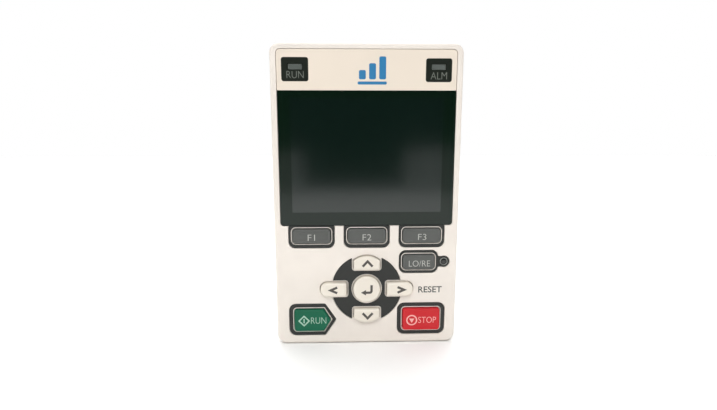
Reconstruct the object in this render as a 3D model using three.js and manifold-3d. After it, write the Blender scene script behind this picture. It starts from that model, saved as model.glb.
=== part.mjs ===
// Operator keypad of a variable frequency drive: graphic display above an eleven-key pad.
// Millimetres. X runs across the keypad, +Z up its length, and the front faces -Y.
// The origin is the centre of the flat back face. Heights below are measured up from the
// bottom edge of the case, and the whole model is lowered by half the height at the end.

import * as THREE from 'three';
import { mergeVertices } from 'three/addons/utils/BufferGeometryUtils.js';
import Module from 'manifold-3d';

const wasm = await Module();
wasm.setup();

// ---------------------------------------------------------------- driving dimensions

// case
const WIDTH = 65;
const HEIGHT = 106;
const DEPTH = 16.9; // back face to front face, without the keys
const CORNER_R = 3.4;
const EDGE_BEVEL = 0.9;
const WALL = 1.8;
const FRONT_WALL = 2;
const SEAM_Y = -9; // back end of the front case, on the rear case's flange
const FLANGE = 2; // thickness of the rear case's flange
const FLANGE_WIDTH = 5.6; // from the outline to the insert portion of the rear case
const TOP_FLANGE_WIDTH = 5.7;
const LIP = 1; // locating lip of the rear case, inside the front case
const LIP_HEIGHT = 1.4;

// clearances
const FIT = 0.15; // between pieces that are assembled and stay put
const SEAT = 0.05; // between faces that rest on each other
const KEY_GAP = 0.3; // around each keycap
const SLIDE_GAP = 0.2; // around the battery cover
const MERGE = 0.2; // how far two solids that become one piece run into each other
const BEYOND = 1; // how far a cut runs past the face it opens

// lens sheet, window and display module
const LENS_THICKNESS = 1;
const LENS_SIDE_MARGIN = 2.3; // case side to lens side
const LENS_TOP_MARGIN = 2.2;
const LENS_BOTTOM = 44.2; // height of the lens sheet's lower edge
const LENS_TOP_R = 1.3;
const HEADER_HEIGHT = 13.3;
const VIEW_MARGIN = 1.1; // glass edge to the opening in the case in front of it
const GLASS_WIDTH = 56;
const GLASS_HEIGHT = 41;
const GLASS_THICKNESS = 1.8;
const BACKLIGHT_THICKNESS = 0.95;
const GLASS_GAP = 0.2; // around the glass in its holder
const HOLDER_RIM = 1.2;
const HOLDER_FLOOR = 0.5;

// main board and what is on it
const BOARD_THICKNESS = 1.6;
const BOARD_EDGE = 0.7; // board edge to the rear case's lip
const BOARD_GAP = 0.2; // display holder to board
const CHIP_SIZE = 10;
const CHIP_THICKNESS = 1.2;
const CHIP_X = -13;
const CHIP_Z = 36;
const FLEX_WIDTH = 24;
const FLEX_THICKNESS = 0.2;
const FLEX_BELOW_GLASS = 0.3;
const FLEX_SPACE = 0.65; // in the holder, below the glass
const FLEX_BEHIND_BOARD = 0.6;
const FLEX_RUN = 4.6; // along the back of the board, into its connector
const FLEX_CONNECTOR_DEPTH = 1.7;
const JACK_WIDTH = 15.8;
const JACK_HEIGHT = 13.4;
const JACK_MOUTH = [11.8, 7]; // plug opening, across and up
const JACK_LATCH = [6.2, 2.4]; // latch notch below the plug opening
const JACK_TOP_WALL = 1.6;
const JACK_LATCH_STEP = 2; // the latch notch stops this far short of the plug opening's end
const JACK_END_WALL = 1;
const JACK_SHOULDER_REACH = 0.8;
const JACK_SHOULDER = 0.8;
const JACK_ABOVE_MIDDLE = 11.2;
const USB_MIDDLE_Z = 29.5;
const USB_SIZE = [9.2, 3.9, 7.7]; // into the case, thick, long
const USB_MOUTH = [3.1, 6.9]; // thick, long
const USB_TONGUE = [6.2, 0.7, 4.6];
const USB_SETBACK = 0.5;

// keys
const KEY_TRAVEL = 0.6;
const COLLAR = 0.4; // the case's rim around each key opening
const KEY_RIM = 0.5; // width of the raised rim around a dished key face
const DISH = 0.2; // depth of the dished key face
const KEY_FLANGE = 1; // thickness of the flange that keeps a key in
const KEY_FLANGE_GAP = 0.1; // flange to the back of the case wall
const KEY_BEVEL = 0.3;
const FLANGE_OVERHANG = 0.85; // key flange past the keycap
const EAR_REACH = 0.4; // a pad key's ears, past the collar
const END_EAR_DEPTH = 2.6;
const SIDE_EAR_DEPTH = 5.4;
const SIDE_EAR_SHIFT = 0.8;
const ENTER_EAR_R = 1.1;
const ENTER_EAR_REACH = 0.2;
const PLUNGER_R = 1.9;
const PLUNGER_GAP = 0.1; // left under a fully pressed plunger
const MAT_THICKNESS = 0.8;
const MAT_MARGIN = 0.4;
const DOME_R = 2.6;
const DOME_HEIGHT = 0.55;
const BEZEL_DEPTH = 1.2;
const SOFT_KEY_PROUD = 0.7;
const MAIN_KEY_PROUD = 1;
const PAD_KEY_PROUD = 1.7;
const ENTER_KEY_PROUD = 1.4;
const ENTER_R = 5.6;
const PAD_WEBS = { sides: 0.9, ends: 1 }; // of the dark disc, between enter and each pad key

// battery
const CELL_D = 20;
const CELL_THICKNESS = 1.6;
const CELL_END_MARGIN = 0.9; // cell to the end wall of the insert portion
const WELL_GAP = 0.35; // around the cell
const WELL_WALL = 1.3;
const COVER_THICKNESS = 1.2;
const COVER_OVERLAP = 2.15; // cover's reach past the well at each side
const COVER_TONGUE = 0.6; // reach of the cover's tongue into each groove
const COVER_BELOW_CELL = 2; // cover reaches this far below the cell
const CONTACT_WIDTH = 3;
const CONTACT_THICKNESS = 0.3;
const CONTACT_RISE = 0.5; // height of the negative contact's sprung tip
const CONTACT_ROOT = 6; // from the cell's centre down to the negative contact's root
const CONTACT_GAP = 0.3; // cell edge to the positive contact
const SLOT_INTO_WELL = 1; // reach of the positive contact's slot into the well

// fastenings
const SCREW_R = 1.2;
const SCREW_HEAD_R = 2.4;
const SCREW_HEAD = 1.8;
const SCREW_LENGTH = 8.5;
const SCREW_SEAT_Y = -5.5;
const BOSS_R = 3.1;
const LOW_SCREW = [23.5, 20.6]; // from the middle, and up from the bottom edge
const TOP_SCREW = [17, 9]; // from the middle, and down from the top edge
const INSERT_R = 2.1;
const INSERT_BORE_R = 1.25;
const INSERT_LENGTH = 4;
const INSERT_WALL = 1.5; // rear case around and behind each insert
const INSERT_X = 22;
const INSERT_MARGIN = 14; // from the bottom edge, and from the top edge
const LABEL = [30, 20, 0.15]; // rating label, across, up, thick
const LABEL_Z = 34;

// status lights
const STATUS_X = 24;
const STATUS_BELOW_TOP = 7.9;
const STATUS_LENS = [4.6, 1.7];
const LAMP_X = 27.7; // round lamp beside the local/remote key
const LAMP_BOSS_R = 2;
const LAMP_R = 1.25;
const LED_SIZE = [2.8, 0.8, 1.4];

// ---------------------------------------------------------------- derived places

const FRONT_Y = -DEPTH;
const INNER_FRONT_Y = FRONT_Y + FRONT_WALL;
const GLASS_FRONT_Y = INNER_FRONT_Y + SEAT;
const GLASS_BACK_Y = GLASS_FRONT_Y + GLASS_THICKNESS;
const BACKLIGHT_BACK_Y = GLASS_BACK_Y + SEAT + BACKLIGHT_THICKNESS;
const HOLDER_BACK_Y = BACKLIGHT_BACK_Y + SEAT + HOLDER_FLOOR;
const BOARD_FRONT_Y = HOLDER_BACK_Y + BOARD_GAP;
const BOARD_BACK_Y = BOARD_FRONT_Y + BOARD_THICKNESS;
const INSIDE = { x: WIDTH / 2 - WALL, low: WALL, high: HEIGHT - WALL };
const LENS_X = WIDTH / 2 - LENS_SIDE_MARGIN;
const LENS_TOP = HEIGHT - LENS_TOP_MARGIN;
const LENS_SEAT_Y = FRONT_Y + LENS_THICKNESS + 2 * SEAT;
const WINDOW_TOP = LENS_TOP - HEADER_HEIGHT;
const DISPLAY_Z = (LENS_BOTTOM + WINDOW_TOP) / 2 + 0.5;
const STATUS_Z = HEIGHT - STATUS_BELOW_TOP;
const JACK_Z = HEIGHT / 2 + JACK_ABOVE_MIDDLE;
const INSERT_PORTION = {
  x: WIDTH / 2 - FLANGE_WIDTH,
  low: TOP_FLANGE_WIDTH,
  high: HEIGHT - TOP_FLANGE_WIDTH,
};
const CELL_Z = INSERT_PORTION.high - WALL - CELL_END_MARGIN - CELL_D / 2;
const WELL_R = CELL_D / 2 + WELL_GAP;
const COVER_HALF = WELL_R + COVER_OVERLAP;
const COVER_FLOOR_Y = -COVER_THICKNESS - SEAT;
const CELL_BACK_Y = COVER_FLOOR_Y - 0.1;
const CELL_FRONT_Y = CELL_BACK_Y - CELL_THICKNESS;
const WELL_FLOOR_Y = CELL_FRONT_Y - CONTACT_THICKNESS - CONTACT_RISE;
const POSITIVE_X = CELL_D / 2 + CONTACT_GAP;
const COVER_LOW = CELL_Z - CELL_D / 2 - COVER_BELOW_CELL;
const MAT_BACK_Y = BOARD_FRONT_Y - SEAT;
const MAT_FRONT_Y = MAT_BACK_Y - MAT_THICKNESS;
const DOME_FRONT_Y = MAT_FRONT_Y - DOME_HEIGHT;
const FLANGE_FRONT_Y = INNER_FRONT_Y + KEY_FLANGE_GAP;
const FLANGE_BACK_Y = FLANGE_FRONT_Y + KEY_FLANGE;
const PLUNGER_BACK_Y = DOME_FRONT_Y - PLUNGER_GAP - KEY_TRAVEL;

// ---------------------------------------------------------------- materials

const finish = (color, roughness, metalness) => (
  new THREE.MeshStandardMaterial({ color, roughness, metalness })
);
const plastic = (color, roughness = 0.6) => finish(color, roughness, 0);
const metal = (color, roughness = 0.35) => finish(color, roughness, 1);

const CREAM = plastic('#ede5d8');
const CHARCOAL = plastic('#2f3131');
const DARK_TRIM = plastic('#393a36', 0.5);
const GREY_KEY = plastic('#656560', 0.5);
const WHITE_KEY = plastic('#e8e2d6', 0.45);
const GREEN_KEY = plastic('#206e50', 0.45);
const RED_KEY = plastic('#c33237', 0.45);
const LENS_BLACK = plastic('#121a18', 0.15);
const LIGHT_GUIDE = plastic('#8f9696', 0.3);
const GLASS = plastic('#26302c', 0.1);
const DIFFUSER = plastic('#e9ecee', 0.35);
const RUBBER = plastic('#bdbfb8', 0.85);
const BOARD_GREEN = plastic('#1d5a38', 0.5);
const FLEX_AMBER = plastic('#b5722a', 0.4);
const BLACK_MOULDING = plastic('#1b1c1d', 0.5);
const LED_WHITE = plastic('#f0ead8', 0.3);
const LABEL_SILVER = plastic('#c9cbcc', 0.4);
const STEEL = metal('#b9bcc0');
const BRASS = metal('#c9a24e', 0.3);

// ---------------------------------------------------------------- shapes and solids

// A rectangle in the plane of the front face, with a radius for each corner,
// from the lower left one round to the upper left one.
function cornered(left, right, low, high, [r1, r2, r3, r4]) {
  const shape = new THREE.Shape();
  shape.moveTo(left + r1, low);
  shape.lineTo(right - r2, low);
  shape.absarc(right - r2, low + r2, r2, -Math.PI / 2, 0, false);
  shape.lineTo(right, high - r3);
  shape.absarc(right - r3, high - r3, r3, 0, Math.PI / 2, false);
  shape.lineTo(left + r4, high);
  shape.absarc(left + r4, high - r4, r4, Math.PI / 2, Math.PI, false);
  shape.lineTo(left, low + r1);
  shape.absarc(left + r1, low + r1, r1, Math.PI, Math.PI * 1.5, false);
  return shape;
}

// The same with one radius, or with a radius of their own for the lower corners.
function roundedRect(left, right, low, high, r, lowR = r) {
  return cornered(left, right, low, high, [lowR, lowR, r, r]);
}

// The same rectangle, given by its middle and sides.
function plate(x, z, width, height, r) {
  return roundedRect(x - width / 2, x + width / 2, z - height / 2, z + height / 2, r);
}

function disc(x, z, r) {
  const shape = new THREE.Shape();
  shape.absarc(x, z, r, 0, Math.PI * 2, false);
  return shape;
}

function toManifold(source) {
  const bare = source.clone();
  bare.deleteAttribute('normal');
  bare.deleteAttribute('uv');
  const merged = mergeVertices(bare, 1e-4);
  return new wasm.Manifold(new wasm.Mesh({
    numProp: 3,
    vertProperties: new Float32Array(merged.attributes.position.array),
    triVerts: new Uint32Array(merged.index.array),
  }));
}

// A shape of the front face's plane, made solid between two depths along Y.
function slab(shape, frontY, backY, segments = 3) {
  const depth = backY - frontY;
  const geometry = new THREE.ExtrudeGeometry(shape, { depth, bevelEnabled: false, curveSegments: segments });
  geometry.rotateX(Math.PI / 2);
  geometry.translate(0, backY, 0);
  return toManifold(geometry);
}

// The same, with its front edge bevelled. The bevel runs inwards from the outline.
function bevelledSlab(shape, frontY, backY, bevel, segments = 3) {
  const geometry = new THREE.ExtrudeGeometry(shape, {
    depth: backY - frontY,
    bevelThickness: bevel,
    bevelSize: bevel,
    bevelOffset: -bevel,
    bevelSegments: 1,
    curveSegments: segments,
  });
  geometry.rotateX(Math.PI / 2);
  geometry.translate(0, backY + bevel, 0);
  const behind = new THREE.BoxGeometry(4 * WIDTH, 4 * bevel, 4 * HEIGHT);
  behind.translate(0, backY + 2 * bevel, 0);
  return toManifold(geometry).subtract(toManifold(behind));
}

function box(x0, x1, y0, y1, z0, z1) {
  const geometry = new THREE.BoxGeometry(x1 - x0, y1 - y0, z1 - z0);
  geometry.translate((x0 + x1) / 2, (y0 + y1) / 2, (z0 + z1) / 2);
  return toManifold(geometry);
}

const pin = (x, z, r, frontY, backY, segments = 16) => slab(disc(x, z, r), frontY, backY, segments);

const joined = (first, ...rest) => rest.reduce((sum, next) => sum.add(next), first);
const without = (first, ...cutters) => cutters.reduce((left, cutter) => left.subtract(cutter), first);

const keypad = new THREE.Group();
keypad.position.z = -HEIGHT / 2;

function addPiece(name, solid, material) {
  const { numProp, vertProperties, triVerts } = solid.getMesh();
  const places = new Float32Array(triVerts.length * 3);
  triVerts.forEach((vertex, i) => {
    for (let axis = 0; axis < 3; axis += 1) {
      places[3 * i + axis] = vertProperties[numProp * vertex + axis];
    }
  });
  const geometry = new THREE.BufferGeometry();
  geometry.setAttribute('position', new THREE.BufferAttribute(places, 3));
  geometry.computeVertexNormals();
  const mesh = new THREE.Mesh(geometry, material);
  mesh.name = name;
  keypad.add(mesh);
}

// ---------------------------------------------------------------- key outlines

// Each key has one outline, that of the case's collar around it, drawn larger or smaller by an offset.
const barKey = (x, z, width, height, r) => (grow) => (
  plate(x, z, width + 2 * grow, height + 2 * grow, Math.max(r + grow, 0.2))
);

const roundKey = (x, z, r) => (grow) => disc(x, z, r + grow);

// The run key: square at its left end and pointed at its right end.
const pointedKey = (left, tip, z, height, shoulder, r) => (grow) => {
  const half = height / 2 + grow;
  const start = left - grow;
  const corner = r + grow;
  const slope = Math.hypot(tip - shoulder, height / 2) / (height / 2);
  const point = tip + grow * slope;
  const bend = shoulder + grow * (slope - (tip - shoulder) / (height / 2));
  const shape = new THREE.Shape();
  shape.moveTo(start + corner, z - half);
  shape.lineTo(bend, z - half);
  shape.lineTo(point, z);
  shape.lineTo(bend, z + half);
  shape.lineTo(start + corner, z + half);
  shape.absarc(start + corner, z + half - corner, corner, Math.PI / 2, Math.PI, false);
  shape.lineTo(start, z - half + corner);
  shape.absarc(start + corner, z - half + corner, corner, Math.PI, Math.PI * 1.5, false);
  return shape;
};

// A pad key: straight at its inner end, bowed outwards at its outer end.
// It is drawn for the upper key and turned about the pad's centre in quarter turns.
const bowedKey = (centre, quarter, halfWidth, inner, side, apex) => (grow) => {
  const w = halfWidth + grow;
  const near = inner - grow;
  const far = apex + grow;
  const shoulder = side + grow * 0.6;
  const rise = far - shoulder;
  const bowR = (w * w + rise * rise) / (2 * rise);
  const bowAngle = Math.asin(w / bowR);
  const points = [new THREE.Vector2(-w, near), new THREE.Vector2(w, near)];
  const steps = 8;
  for (let i = 0; i <= steps; i += 1) {
    const a = bowAngle * (1 - 2 * i / steps);
    points.push(new THREE.Vector2(bowR * Math.sin(a), far - bowR + bowR * Math.cos(a)));
  }
  const turn = quarter * Math.PI / 2;
  const middle = new THREE.Vector2(0, 0);
  return new THREE.Shape(points.map((p) => (
    p.clone().rotateAround(middle, turn).add(new THREE.Vector2(centre[0], centre[1]))
  )));
};

// ---------------------------------------------------------------- layout of the keys

const SOFT_KEYS = { pitch: 19.5, z: 40.45, size: [14.8, 6.5], r: 1.8, frame: [16.1, 8], frameZ: 40.1 };
const REMOTE_KEY = { x: 18.6, z: 30.75, size: [12.8, 6.7], r: 1.8, frame: [13.9, 8.3] };
const PAD = { x: 0, z: 20.8, r: 12.5, enterR: ENTER_R };
const PAD_ENDS = { halfWidth: 5.4, inner: ENTER_R + PAD_WEBS.ends, side: 10.9, apex: 13.1 };
const PAD_SIDES = {
  inner: ENTER_R + PAD_WEBS.sides,
  outer: 17.3,
  height: 6.8,
  innerR: 1.2,
  outerR: 3,
};
const MAIN_KEYS = { edge: 5.25, z: 9.25, size: [14.8, 9.5], r: 1.6, tip: 14.5, shoulder: 11.6, frame: 1.2 };

const runLeft = -WIDTH / 2 + MAIN_KEYS.edge + 0.45;
const stopRight = WIDTH / 2 - MAIN_KEYS.edge;
const stopX = stopRight - MAIN_KEYS.size[0] / 2;
const runX = runLeft + MAIN_KEYS.tip / 2;
const padEnd = PAD_ENDS;
const padSideX = (PAD_SIDES.inner + PAD_SIDES.outer) / 2;
const padSideWidth = PAD_SIDES.outer - PAD_SIDES.inner;
const padEndZ = (padEnd.inner + padEnd.side) / 2;

function padEndKey(quarter) {
  return bowedKey([PAD.x, PAD.z], quarter, padEnd.halfWidth, padEnd.inner, padEnd.side, padEnd.apex);
}

function padSideKey(side) {
  const half = PAD_SIDES.height / 2;
  const near = PAD_SIDES.innerR;
  const far = PAD_SIDES.outerR;
  const radii = side < 0 ? [far, near, near, far] : [near, far, far, near];
  const left = side * padSideX - padSideWidth / 2;
  const right = side * padSideX + padSideWidth / 2;
  return (grow) => cornered(left - grow, right + grow, PAD.z - half - grow, PAD.z + half + grow,
    radii.map((r) => Math.max(r + grow, 0.2)));
}

// The ears of a pad key stand out at its two sides, where its neighbours leave room.
const endEars = (side) => [
  plate(PAD.x, PAD.z + side * padEndZ, 2 * (padEnd.halfWidth + EAR_REACH), END_EAR_DEPTH, 0.3),
];
const sideEars = (side) => [
  plate(side * (padSideX + SIDE_EAR_SHIFT), PAD.z, SIDE_EAR_DEPTH, PAD_SIDES.height + 2 * EAR_REACH, 0.3),
];

function enterEars() {
  return [1, 3, 5, 7].map((eighth) => {
    const angle = eighth * Math.PI / 4;
    const reach = PAD.enterR + ENTER_EAR_REACH;
    return disc(PAD.x + reach * Math.cos(angle), PAD.z + reach * Math.sin(angle), ENTER_EAR_R);
  });
}

const softKeys = [-1, 0, 1].map((column, i) => ({
  name: `f${i + 1}_key`,
  outline: barKey(column * SOFT_KEYS.pitch, SOFT_KEYS.z, ...SOFT_KEYS.size, SOFT_KEYS.r),
  centre: [column * SOFT_KEYS.pitch, SOFT_KEYS.z],
  proud: SOFT_KEY_PROUD,
  material: GREY_KEY,
  bezel: barKey(column * SOFT_KEYS.pitch, SOFT_KEYS.frameZ, ...SOFT_KEYS.frame, 2.3),
}));

const keys = [
  ...softKeys,
  {
    name: 'local_remote_key',
    outline: barKey(REMOTE_KEY.x, REMOTE_KEY.z, ...REMOTE_KEY.size, REMOTE_KEY.r),
    centre: [REMOTE_KEY.x, REMOTE_KEY.z],
    proud: SOFT_KEY_PROUD,
    material: GREY_KEY,
    bezel: barKey(REMOTE_KEY.x, REMOTE_KEY.z, ...REMOTE_KEY.frame, 2.4),
  },
  {
    name: 'run_key',
    outline: pointedKey(runLeft, runLeft + MAIN_KEYS.tip, MAIN_KEYS.z, MAIN_KEYS.size[1],
      runLeft + MAIN_KEYS.shoulder, MAIN_KEYS.r),
    centre: [runX, MAIN_KEYS.z],
    proud: MAIN_KEY_PROUD,
    material: GREEN_KEY,
    bezel: pointedKey(runLeft - MAIN_KEYS.frame, runLeft + MAIN_KEYS.tip + MAIN_KEYS.frame,
      MAIN_KEYS.z, MAIN_KEYS.size[1] + 2 * MAIN_KEYS.frame, runLeft + MAIN_KEYS.shoulder + 0.1, 2.5),
  },
  {
    name: 'stop_key',
    outline: barKey(stopX, MAIN_KEYS.z, ...MAIN_KEYS.size, MAIN_KEYS.r),
    centre: [stopX, MAIN_KEYS.z],
    proud: MAIN_KEY_PROUD,
    material: RED_KEY,
    bezel: barKey(stopX, MAIN_KEYS.z, MAIN_KEYS.size[0] + 2 * MAIN_KEYS.frame,
      MAIN_KEYS.size[1] + 2 * MAIN_KEYS.frame, 2.4),
  },
  {
    name: 'up_key',
    outline: padEndKey(0),
    centre: [PAD.x, PAD.z + padEndZ],
    ears: endEars(1),
    proud: PAD_KEY_PROUD,
    material: WHITE_KEY,
  },
  {
    name: 'down_key',
    outline: padEndKey(2),
    centre: [PAD.x, PAD.z - padEndZ],
    ears: endEars(-1),
    proud: PAD_KEY_PROUD,
    material: WHITE_KEY,
  },
  {
    name: 'left_key',
    outline: padSideKey(-1),
    centre: [-padSideX, PAD.z],
    ears: sideEars(-1),
    proud: PAD_KEY_PROUD,
    material: WHITE_KEY,
  },
  {
    name: 'right_key',
    outline: padSideKey(1),
    centre: [padSideX, PAD.z],
    ears: sideEars(1),
    proud: PAD_KEY_PROUD,
    material: WHITE_KEY,
  },
  {
    name: 'enter_key',
    outline: roundKey(PAD.x, PAD.z, PAD.enterR),
    centre: [PAD.x, PAD.z],
    ears: enterEars(),
    proud: ENTER_KEY_PROUD,
    material: WHITE_KEY,
    segments: 20,
  },
];

const lamp = { x: LAMP_X, z: REMOTE_KEY.z };
const keyHole = (key, frontY, backY) => slab(key.outline(-COLLAR), frontY, backY, key.segments);
const keyCollar = (key, grow, frontY, backY) => slab(key.outline(grow), frontY, backY, key.segments);
const screwPlaces = [
  [-LOW_SCREW[0], LOW_SCREW[1]],
  [LOW_SCREW[0], LOW_SCREW[1]],
  [-TOP_SCREW[0], HEIGHT - TOP_SCREW[1]],
  [TOP_SCREW[0], HEIGHT - TOP_SCREW[1]],
];
const insertPlaces = [[-INSERT_X, INSERT_MARGIN], [INSERT_X, HEIGHT - INSERT_MARGIN]];

// ---------------------------------------------------------------- front case

const lensOutline = (grow) => roundedRect(-LENS_X - grow, LENS_X + grow, LENS_BOTTOM - grow, LENS_TOP + grow,
  LENS_TOP_R + grow, 1);
const usb = {
  left: -WIDTH / 2 + USB_SETBACK,
  front: BOARD_FRONT_Y - SEAT - USB_SIZE[1],
  back: BOARD_FRONT_Y - SEAT,
  low: USB_MIDDLE_Z - USB_SIZE[2] / 2,
  high: USB_MIDDLE_Z + USB_SIZE[2] / 2,
};

function lampBoss(grow, frontY, backY) {
  const neck = box(lamp.x - 3, lamp.x, frontY, backY, lamp.z - 0.8 - grow, lamp.z + 0.8 + grow);
  return joined(pin(lamp.x, lamp.z, LAMP_BOSS_R + grow, frontY, backY), neck);
}

function frontCase() {
  const outline = roundedRect(-WIDTH / 2, WIDTH / 2, 0, HEIGHT, CORNER_R);
  const hollow = roundedRect(-INSIDE.x, INSIDE.x, INSIDE.low, INSIDE.high, CORNER_R - WALL);
  let shell = bevelledSlab(outline, FRONT_Y, SEAM_Y - SEAT, EDGE_BEVEL, 4);
  shell = shell.subtract(slab(hollow, INNER_FRONT_Y, 0));
  for (const [x, z] of screwPlaces) {
    const boss = pin(x, z, BOSS_R, INNER_FRONT_Y - MERGE, BOARD_FRONT_Y - SEAT);
    shell = shell.add(boss).subtract(pin(x, z, SCREW_R + FIT / 2, INNER_FRONT_Y + 0.3, 0));
  }
  const view = plate(0, DISPLAY_Z, GLASS_WIDTH - 2 * VIEW_MARGIN, GLASS_HEIGHT - 2 * VIEW_MARGIN, 0.6);
  const cuts = [
    slab(lensOutline(FIT), FRONT_Y - BEYOND, LENS_SEAT_Y),
    slab(view, FRONT_Y, 0),
    without(
      joined(
        slab(disc(PAD.x, PAD.z, PAD.r + FIT), FRONT_Y - BEYOND, FRONT_Y + BEZEL_DEPTH, 36),
        lampBoss(FIT, FRONT_Y - BEYOND, FRONT_Y + BEZEL_DEPTH),
        ...keys.filter((key) => key.bezel).map((key) => (
          slab(key.bezel(FIT), FRONT_Y - BEYOND, FRONT_Y + BEZEL_DEPTH)
        )),
      ),
      ...keys.map((key) => keyCollar(key, 0, FRONT_Y - 2 * BEYOND, FRONT_Y + 2 * BEZEL_DEPTH)),
    ),
    pin(lamp.x, lamp.z, LAMP_R + FIT, FRONT_Y, INNER_FRONT_Y + BEYOND),
    box(-WIDTH, usb.left + USB_SIZE[0] + FIT, usb.front - FIT, usb.back + FIT, usb.low - FIT, usb.high + FIT),
    ...[-1, 1].map((side) => (
      slab(plate(side * STATUS_X, STATUS_Z, STATUS_LENS[0] + 2 * FIT, STATUS_LENS[1] + 2 * FIT, 0.3),
        FRONT_Y, INNER_FRONT_Y + BEYOND)
    )),
    ...keys.map((key) => keyHole(key, FRONT_Y - BEYOND, INNER_FRONT_Y + BEYOND)),
  ];
  return without(shell, ...cuts);
}

addPiece('front_case', frontCase(), CREAM);

// ---------------------------------------------------------------- key frames and keycaps

const BEZEL_FRONT_Y = FRONT_Y + 0.1;
const BEZEL_BACK_Y = FRONT_Y + BEZEL_DEPTH - SEAT;

for (const key of keys.filter((one) => one.bezel)) {
  let bezel = slab(key.bezel(0), BEZEL_FRONT_Y, BEZEL_BACK_Y);
  if (key.name === 'local_remote_key') {
    bezel = bezel.add(lampBoss(0, BEZEL_FRONT_Y, BEZEL_BACK_Y));
    bezel = bezel.subtract(pin(lamp.x, lamp.z, LAMP_R + FIT, FRONT_Y - BEYOND, INNER_FRONT_Y));
  }
  bezel = bezel.subtract(keyCollar(key, FIT, FRONT_Y - BEYOND, INNER_FRONT_Y));
  addPiece(key.name.replace('key', 'bezel'), bezel, DARK_TRIM);
}

const padKeys = keys.filter((key) => key.ears);
const padDisc = without(
  slab(disc(PAD.x, PAD.z, PAD.r), BEZEL_FRONT_Y, BEZEL_BACK_Y, 36),
  ...padKeys.map((key) => keyCollar(key, FIT, FRONT_Y - BEYOND, INNER_FRONT_Y)),
);
addPiece('pad_disc', padDisc, DARK_TRIM);

// A keycap: bevelled top with a dished face, a flange behind the case wall, and a plunger.
function keycap(key) {
  const top = FRONT_Y - key.proud;
  const segments = key.segments;
  const edge = -COLLAR - KEY_GAP;
  const cap = bevelledSlab(key.outline(edge), top, FLANGE_BACK_Y, KEY_BEVEL, segments);
  const dish = slab(key.outline(edge - KEY_RIM), top - BEYOND, top + DISH, segments);
  const flanges = key.ears ?? [key.outline(edge + FLANGE_OVERHANG)];
  const flange = flanges.map((shape) => slab(shape, FLANGE_FRONT_Y, FLANGE_BACK_Y));
  const plunger = pin(...key.centre, PLUNGER_R, FLANGE_BACK_Y - MERGE, PLUNGER_BACK_Y, 12);
  return joined(cap.subtract(dish), ...flange, plunger);
}

for (const key of keys) {
  addPiece(key.name, keycap(key), key.material);
}

// One moulded rubber mat carries a dome under every key, and lies on the front of the board.
const BOARD = {
  x: INSIDE.x - LIP - BOARD_EDGE,
  low: INSIDE.low + LIP + BOARD_EDGE,
  high: INSIDE.high - LIP - BOARD_EDGE,
};
const HOLDER = {
  x: GLASS_WIDTH / 2 + GLASS_GAP + HOLDER_RIM,
  low: DISPLAY_Z - GLASS_HEIGHT / 2 - FLEX_SPACE - HOLDER_RIM,
  high: DISPLAY_Z + GLASS_HEIGHT / 2 + GLASS_GAP + HOLDER_RIM,
};

function keyMat() {
  const sheet = roundedRect(-BOARD.x + MAT_MARGIN, BOARD.x - MAT_MARGIN, BOARD.low + MAT_MARGIN,
    HOLDER.low - MAT_MARGIN, 1.5);
  const domes = keys.map((key) => pin(...key.centre, DOME_R, DOME_FRONT_Y, MAT_FRONT_Y + MERGE, 12));
  const bossHoles = screwPlaces.slice(0, 2).map(([x, z]) => pin(x, z, BOSS_R + 0.4, FRONT_Y, 0, 20));
  return without(
    joined(slab(sheet, MAT_FRONT_Y, MAT_BACK_Y), ...domes),
    ...bossHoles,
    pin(lamp.x, lamp.z, LAMP_BOSS_R + 0.2, FRONT_Y, 0, 20),
    box(-WIDTH, usb.left + USB_SIZE[0] + MAT_MARGIN, FRONT_Y, 0, usb.low - MAT_MARGIN, usb.high + MAT_MARGIN),
  );
}

addPiece('key_mat', keyMat(), RUBBER);

// ---------------------------------------------------------------- lens sheet and display module

const statusSlot = (side, grow, frontY, backY) => slab(
  plate(side * STATUS_X, STATUS_Z, STATUS_LENS[0] + 2 * grow, STATUS_LENS[1] + 2 * grow, 0.3 + grow),
  frontY,
  backY,
);

const lensSheet = without(
  slab(lensOutline(0), FRONT_Y + SEAT, LENS_SEAT_Y - SEAT),
  statusSlot(-1, FIT, FRONT_Y - BEYOND, 0),
  statusSlot(1, FIT, FRONT_Y - BEYOND, 0),
);
addPiece('display_lens', lensSheet, LENS_BLACK);

const glassLow = DISPLAY_Z - GLASS_HEIGHT / 2;
const flexZ = glassLow - FLEX_BELOW_GLASS;
const flexSlot = box(-FLEX_WIDTH / 2 - 2 * FIT, FLEX_WIDTH / 2 + 2 * FIT, GLASS_FRONT_Y, 0,
  flexZ - FLEX_THICKNESS - FIT, flexZ + FIT);

const glassOutline = plate(0, DISPLAY_Z, GLASS_WIDTH, GLASS_HEIGHT, 0.3);
addPiece('lcd_glass', slab(glassOutline, GLASS_FRONT_Y, GLASS_BACK_Y, 2), GLASS);

addPiece(
  'backlight_panel',
  slab(plate(0, DISPLAY_Z, GLASS_WIDTH - 1, GLASS_HEIGHT - 1, 0.5), GLASS_BACK_Y + SEAT, BACKLIGHT_BACK_Y, 2),
  DIFFUSER,
);

const holderPocket = roundedRect(-HOLDER.x + HOLDER_RIM, HOLDER.x - HOLDER_RIM, HOLDER.low + HOLDER_RIM,
  HOLDER.high - HOLDER_RIM, 0.4);
const holder = without(
  slab(roundedRect(-HOLDER.x, HOLDER.x, HOLDER.low, HOLDER.high, 1), GLASS_FRONT_Y, HOLDER_BACK_Y),
  slab(holderPocket, FRONT_Y, HOLDER_BACK_Y - HOLDER_FLOOR),
  flexSlot,
);
addPiece('lcd_holder', holder, plastic('#dfe0dc'));

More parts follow.
